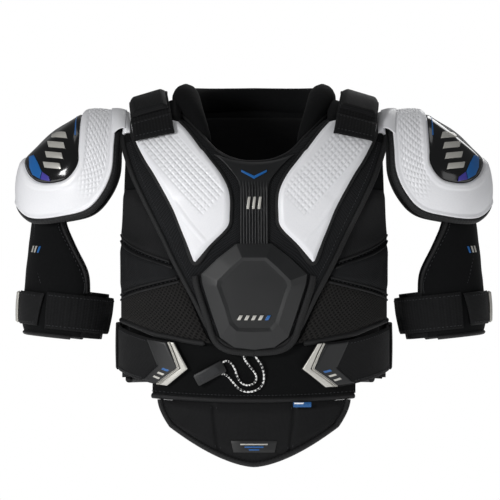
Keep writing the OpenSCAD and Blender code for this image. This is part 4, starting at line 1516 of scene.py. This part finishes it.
# ---------------------------------------------------------------- arm guards
@dataclass
class Arm:
    """One arm guard: an outer pad, a cuff, a hanger, a wrap band and its tab."""

    side: Side
    top: tuple[float, float, float] = (210, 0, -60)
    lean: float = 6
    radius: float = 42

    def at(self, angle: float, down: float, off: float) -> Vector:
        """A point off the arm: the angle from its outer side to the front, and the distance down it."""
        r = self.radius + 2 * smooth(down / 90) - 4 * smooth((down - 150) / 50) + off
        a, k = math.radians(angle), math.radians(self.lean)
        x, y, z = r * math.cos(a), -r * math.sin(a), -down
        return self.side.put(Vector(self.top) + Vector((x * math.cos(k) - z * math.sin(k), y,
                                                        z * math.cos(k) + x * math.sin(k))))

    def middle(self, p: Vector) -> Vector:
        """The arm's axis at the height of p."""
        down = self.top[2] - p.z
        return self.side.put(Vector((self.top[0] + down * math.tan(math.radians(self.lean)), 0, p.z)))

    def patch(self, name: str, angles: tuple[float, float], downs: tuple[float, float],
              height: Callable[[float, float], float], steps: tuple[int, int]) -> bpy.types.Object:
        """A sheet on the arm between two angles and two distances down it."""
        width = math.radians(abs(angles[1] - angles[0])) * 50

        def place(u: float, v: float) -> Vector:
            return self.at(lerp(*angles, u), lerp(*downs, v), height(u, v))

        return mapped(name, place, steps, (width, abs(downs[1] - downs[0])), self.middle)

    def track(self, points: Sequence[Point], off: float) -> Track:
        """A track through (angle, distance down) points."""

        def along(t: float) -> tuple[Vector, Vector]:
            p = through(points, t)
            return self.at(p.x, p.y, off), (self.at(p.x, p.y, off + 5) - self.at(p.x, p.y, off)).normalized()

        return along

    def build(self) -> None:
        """Make the guard's pieces."""
        word = self.side.word
        body, tab_body = f"arm_{word}", f"arm_tab_{word}"

        def reach(down: float) -> float:
            return lerp(70, 118, smooth((down - 40) / 90))

        def pad(u: float, v: float) -> Vector:
            down = lerp(34, 188, v)
            wrinkle = 0.6 * noise.noise(Vector((u * 5, v * 7, 3 + self.side.value)))
            off = 4.6 + 1.6 * smooth((down - 34) / 30) + 2.8 * pillow(u, v, 190, 160, 12) + wrinkle
            return self.at(lerp(-reach(down), reach(down), u), down, off)

        lay(f"arm_pad_{word}_foam", pad, (80, 70), (200, 162), 6, 1.2, TRICOT, "shell_fabric", body,
            f"arm_pad_{word}", inside=self.middle, fill=0.5)
        side_rows = [[(s * (reach(d) - 5), d) for d in (44, 62, 90, 120, 134)] for s in (-1, 1)]
        seam = [(20, 44), (24, 62), (34, 95), (52, 128)]
        rows = [self.track(points, 8.6) for points in side_rows + [seam]]
        sew(f"arm_stitching_{word}", rows, 112, body)
        edge = [(s * reach(d), d) for s, d in [(1, 134), (1, 110), (1, 80), (1, 54), (1, 38)]]
        for name, s in (("front", 1), ("back", -1)):
            bind(f"arm_edge_tape_{name}_{word}", self.track([(a * s, d) for a, d in edge], 4.4), 2.6, 4.2,
                 60, body)
        hem = [(a, 188.5) for a in range(-118, 119, 20)]
        bind(f"arm_hem_tape_{word}", self.track(hem, 4.4), 3.0, 4.6, 90, body)
        cuff = self.patch(f"arm_cuff_{word}_cloth", (116, 244), (133, 188),
                          lambda u, v: 5.4 + 0.4 * math.sin(u * 40), (50, 20))
        keep(thicken(cuff, 4, 0.8), NYLON, "shell_fabric", body, f"arm_cuff_{word}")
        hanger = self.patch(f"arm_hanger_{word}_web", (-13, 13), (0, 34), lambda u, v: 4.6, (20, 16))
        keep(thicken(hanger, 2.4, 0.4), ELASTIC, "webbing", body, f"arm_hanger_{word}")

        def band(u: float, v: float) -> float:
            return 11.4 + 0.9 * pillow(u, v, 150, 44, 4) + 0.2 * math.sin(u * 120)

        wrap = self.patch(f"arm_band_{word}_elastic", (65, 239), (137, 181), band, (120, 24))
        keep(thicken(wrap, 1.8, 0.5), ELASTIC, "webbing", body, f"arm_band_{word}")
        rows = [self.track([(68, d), (110, d), (150, d), (190, d), (236, d)], 12.4) for d in (141, 177)]
        sew(f"arm_band_stitching_{word}", rows, 150, body)

        def tab(u: float, v: float) -> Vector:
            a = lerp(3, 62 - 8 * v, u)
            return self.at(a, lerp(139, 179, v), 12.4 + 1.4 * pillow(u, v, 50, 40, 4))

        lay(f"arm_tab_{word}_web", tab, (40, 26), (54, 40), 2.6, 0.6, NYLON, "webbing", tab_body,
            f"arm_tab_{word}", inside=self.middle)

        def tip(u: float, v: float) -> Vector:
            point = 1 - abs(2 * v - 1)
            off = 15.0 + 2.4 * pillow(u, v, 14, 38, 2)
            return self.at(lerp(-7 - 3 * point, 9, u), lerp(140, 178, v), off)

        lay(f"arm_tip_{word}_moulding", tip, (14, 24), (14, 30), 4.6, 0.7, SILVER, "silver_trim", tab_body,
            f"arm_tip_{word}", inside=self.middle)
        for i in range(3):
            bar = [(26 + 7 * i, 92), (29 + 7 * i, 92), (32 + 7 * i, 84), (29 + 7 * i, 84)]
            mark = block(f"arm_mark_{word}_{i + 1}", bar, self.at, 8.4, 9.8, 0.1, 1)
            keep(mark, *accent(i == 2), body)
        rows = [self.track([(8, d), (22, d), (36, d), (50, d)], 13.9) for d in (143, 175)]
        sew(f"arm_tab_stitching_{word}", rows, 38, tab_body)


# ---------------------------------------------------------------- extension pad
@dataclass
class Extension:
    """The fold-up extension pad below the belly panel."""

    body: str = "extension"
    top: float = -321.4

    def low(self, w: float) -> float:
        """Height of the bottom edge at share w of the half width."""
        return -401 + 46 * abs(w) ** 1.6

    def point(self, w: float, v: float, rim: float, off: float) -> Vector:
        """A point off the pad: w across, v down, rim millimetres in from its edge."""
        x = w * (lerp(112, 99, v ** 1.6) - rim)
        return TORSO.front(x, lerp(self.top - 4 * (1 - w * w), self.low(w) + rim, v), off)

    def build(self) -> None:
        """Make the pad, its seams, its bound edge and its plain label."""

        def cover(u: float, v: float) -> Vector:
            w = 2 * u - 1
            seam = abs(abs(w) - 0.44) * 105
            seam_depth = 2.6 * (1 - smooth(seam / 4)) * smooth(v / 0.1)
            return self.point(w, v, 5, 5.2 + 4.2 * pillow(u, v, 210, 74, 16) - seam_depth)

        lay("extension_pad_cover", cover, (120, 50), (214, 74), 5, 1.0, NYLON, "shell_fabric", self.body,
            "extension_pad", fill=0.6)

        def edge(t: float) -> tuple[Vector, Vector]:
            if t < 0.25:
                w, v = -1.0, t / 0.25
            elif t > 0.75:
                w, v = 1.0, (1 - t) / 0.25
            else:
                w, v = -math.cos(math.pi * (t - 0.25) / 0.5), 1.0
            return self.point(w, v, 3, 4.4), (self.point(w, v, 3, 9) - self.point(w, v, 3, 2)).normalized()

        bind("extension_edge_tape", edge, 3.6, 4.4, 160, self.body, "extension_binding", length=300)

        def row(w: float) -> Track:
            def track(t: float) -> tuple[Vector, Vector]:
                v = lerp(0.08, 0.92, t)
                return self.point(w, v, 5, 7.6), Vector((0, -1, 0))

            return track

        def hinge(u: float, v: float) -> Vector:
            x = lerp(-97, 97, u)
            sag = 4 * (1 - (x / 112) ** 2)
            return TORSO.front(x, lerp(-333, -316, v) - sag, -0.8)

        span("extension_hinge_cloth", hinge, (60, 16), (194, 17), 1.0, 0.2, TAPE)
        inner = [row(s * w) for s in (-1, 1) for w in (0.41, 0.47)]
        sew("extension_stitching", inner, 62, self.body)
        patch = [(-24, -384), (24, -384), (27, -370), (-27, -370)]
        badge = block("extension_badge_patch", patch, TORSO.front, 8.4, 10.4, 0.4, 2)
        keep(badge, BLACK_PP, "label", self.body, "extension_badge")
        for i in range(3):
            half, top, thin = 16 - 5 * i, -373.5 - 3.2 * i, 1.5
            bar = [(-half, top), (half, top), (half, top - thin), (-half, top - thin)]
            line = block(f"extension_badge_line_{i + 1}", bar, TORSO.front, 10.0, 10.9, 0.1, 2)
            keep(line, *accent(i > 0), self.body)


# ---------------------------------------------------------------- studio
@dataclass
class Studio:
    """The pale floor, the soft lights and the camera."""

    middle: tuple[float, float] = (-0.0048, -0.144)
    lens: float = 400
    view_width: float = 0.6
    plane_y: float = -0.03

    def build(self) -> None:
        """Set the stage."""
        self.camera()
        self.floor()
        self.lights()

    def camera(self) -> None:
        """A long lens, level with the chest and square to it."""
        data = bpy.data.cameras.new("camera")
        data.lens = self.lens
        data.sensor_width = 36
        data.clip_end = 50
        cam = bpy.data.objects.new("camera", data)
        distance = self.view_width * self.lens / data.sensor_width
        cam.location = (self.middle[0], self.plane_y - distance, self.middle[1])
        cam.rotation_euler = (math.pi / 2, 0, 0)
        bpy.context.scene.collection.objects.link(cam)
        bpy.context.scene.camera = cam

    def floor(self) -> None:
        """A pale round floor that the pads hang above."""
        bm = bmesh.new()
        bmesh.ops.create_circle(bm, cap_ends=True, segments=96, radius=2400)
        bmesh.ops.translate(bm, vec=(0, 0, -560), verts=bm.verts)
        obj = finish_mesh("pale_floor", bm)
        dress(obj, FLOOR)
        shader = next(n for n in obj.data.materials[0].node_tree.nodes if n.type == "BSDF_PRINCIPLED")
        shader.inputs["Emission Color"].default_value = (1, 1, 1, 1)
        shader.inputs["Emission Strength"].default_value = 0.62

    def lights(self) -> None:
        """A key from the upper left, a fill from the right, a rim from behind, and a white surround."""
        lamps = (("key", (-1.7, -2.2, 0.35), 0.7, 37), ("fill", (1.9, -2.0, -0.3), 1.4, 7),
                 ("rim", (0.8, 1.8, 1.2), 1.2, 12), ("top", (-0.3, -0.4, 2.2), 1.0, 4))
        for name, at, size, watts in lamps:
            data = bpy.data.lights.new(name, "AREA")
            data.size = size
            data.energy = watts
            lamp = bpy.data.objects.new(name, data)
            lamp.location = at
            aim = Vector((0, 0, -0.15)) - Vector(at)
            lamp.rotation_euler = aim.to_track_quat("-Z", "Y").to_euler()
            bpy.context.scene.collection.objects.link(lamp)
        world = bpy.data.worlds.new("white_surround")
        world.use_nodes = True
        tree = world.node_tree
        tree.nodes.clear()
        path = add(tree, "LightPath")
        seen = add(tree, "Background", Color=(1, 1, 1, 1), Strength=1.0)
        soft = add(tree, "Background", Color=(0.98, 0.99, 1.0, 1), Strength=0.14)
        mix = add(tree, "MixShader", {0: path.outputs["Is Camera Ray"], 1: soft.outputs[0],
                                      2: seen.outputs[0]})
        add(tree, "OutputWorld", {"Surface": mix.outputs[0]})
        bpy.context.scene.world = world
        bpy.context.scene.view_settings.view_transform = "Standard"


def main() -> None:
    """Build the pads."""
    logging.basicConfig(level=logging.INFO, format="%(name)s: %(message)s")
    Studio().build()
    Drawcord().build()
    Chest().build()
    Back().build()
    for side in Side:
        BellyStrap(side).build()
        Cap(side).build()
        Arm(side).build()
    Extension().build()


if __name__ == "__main__":
    main()
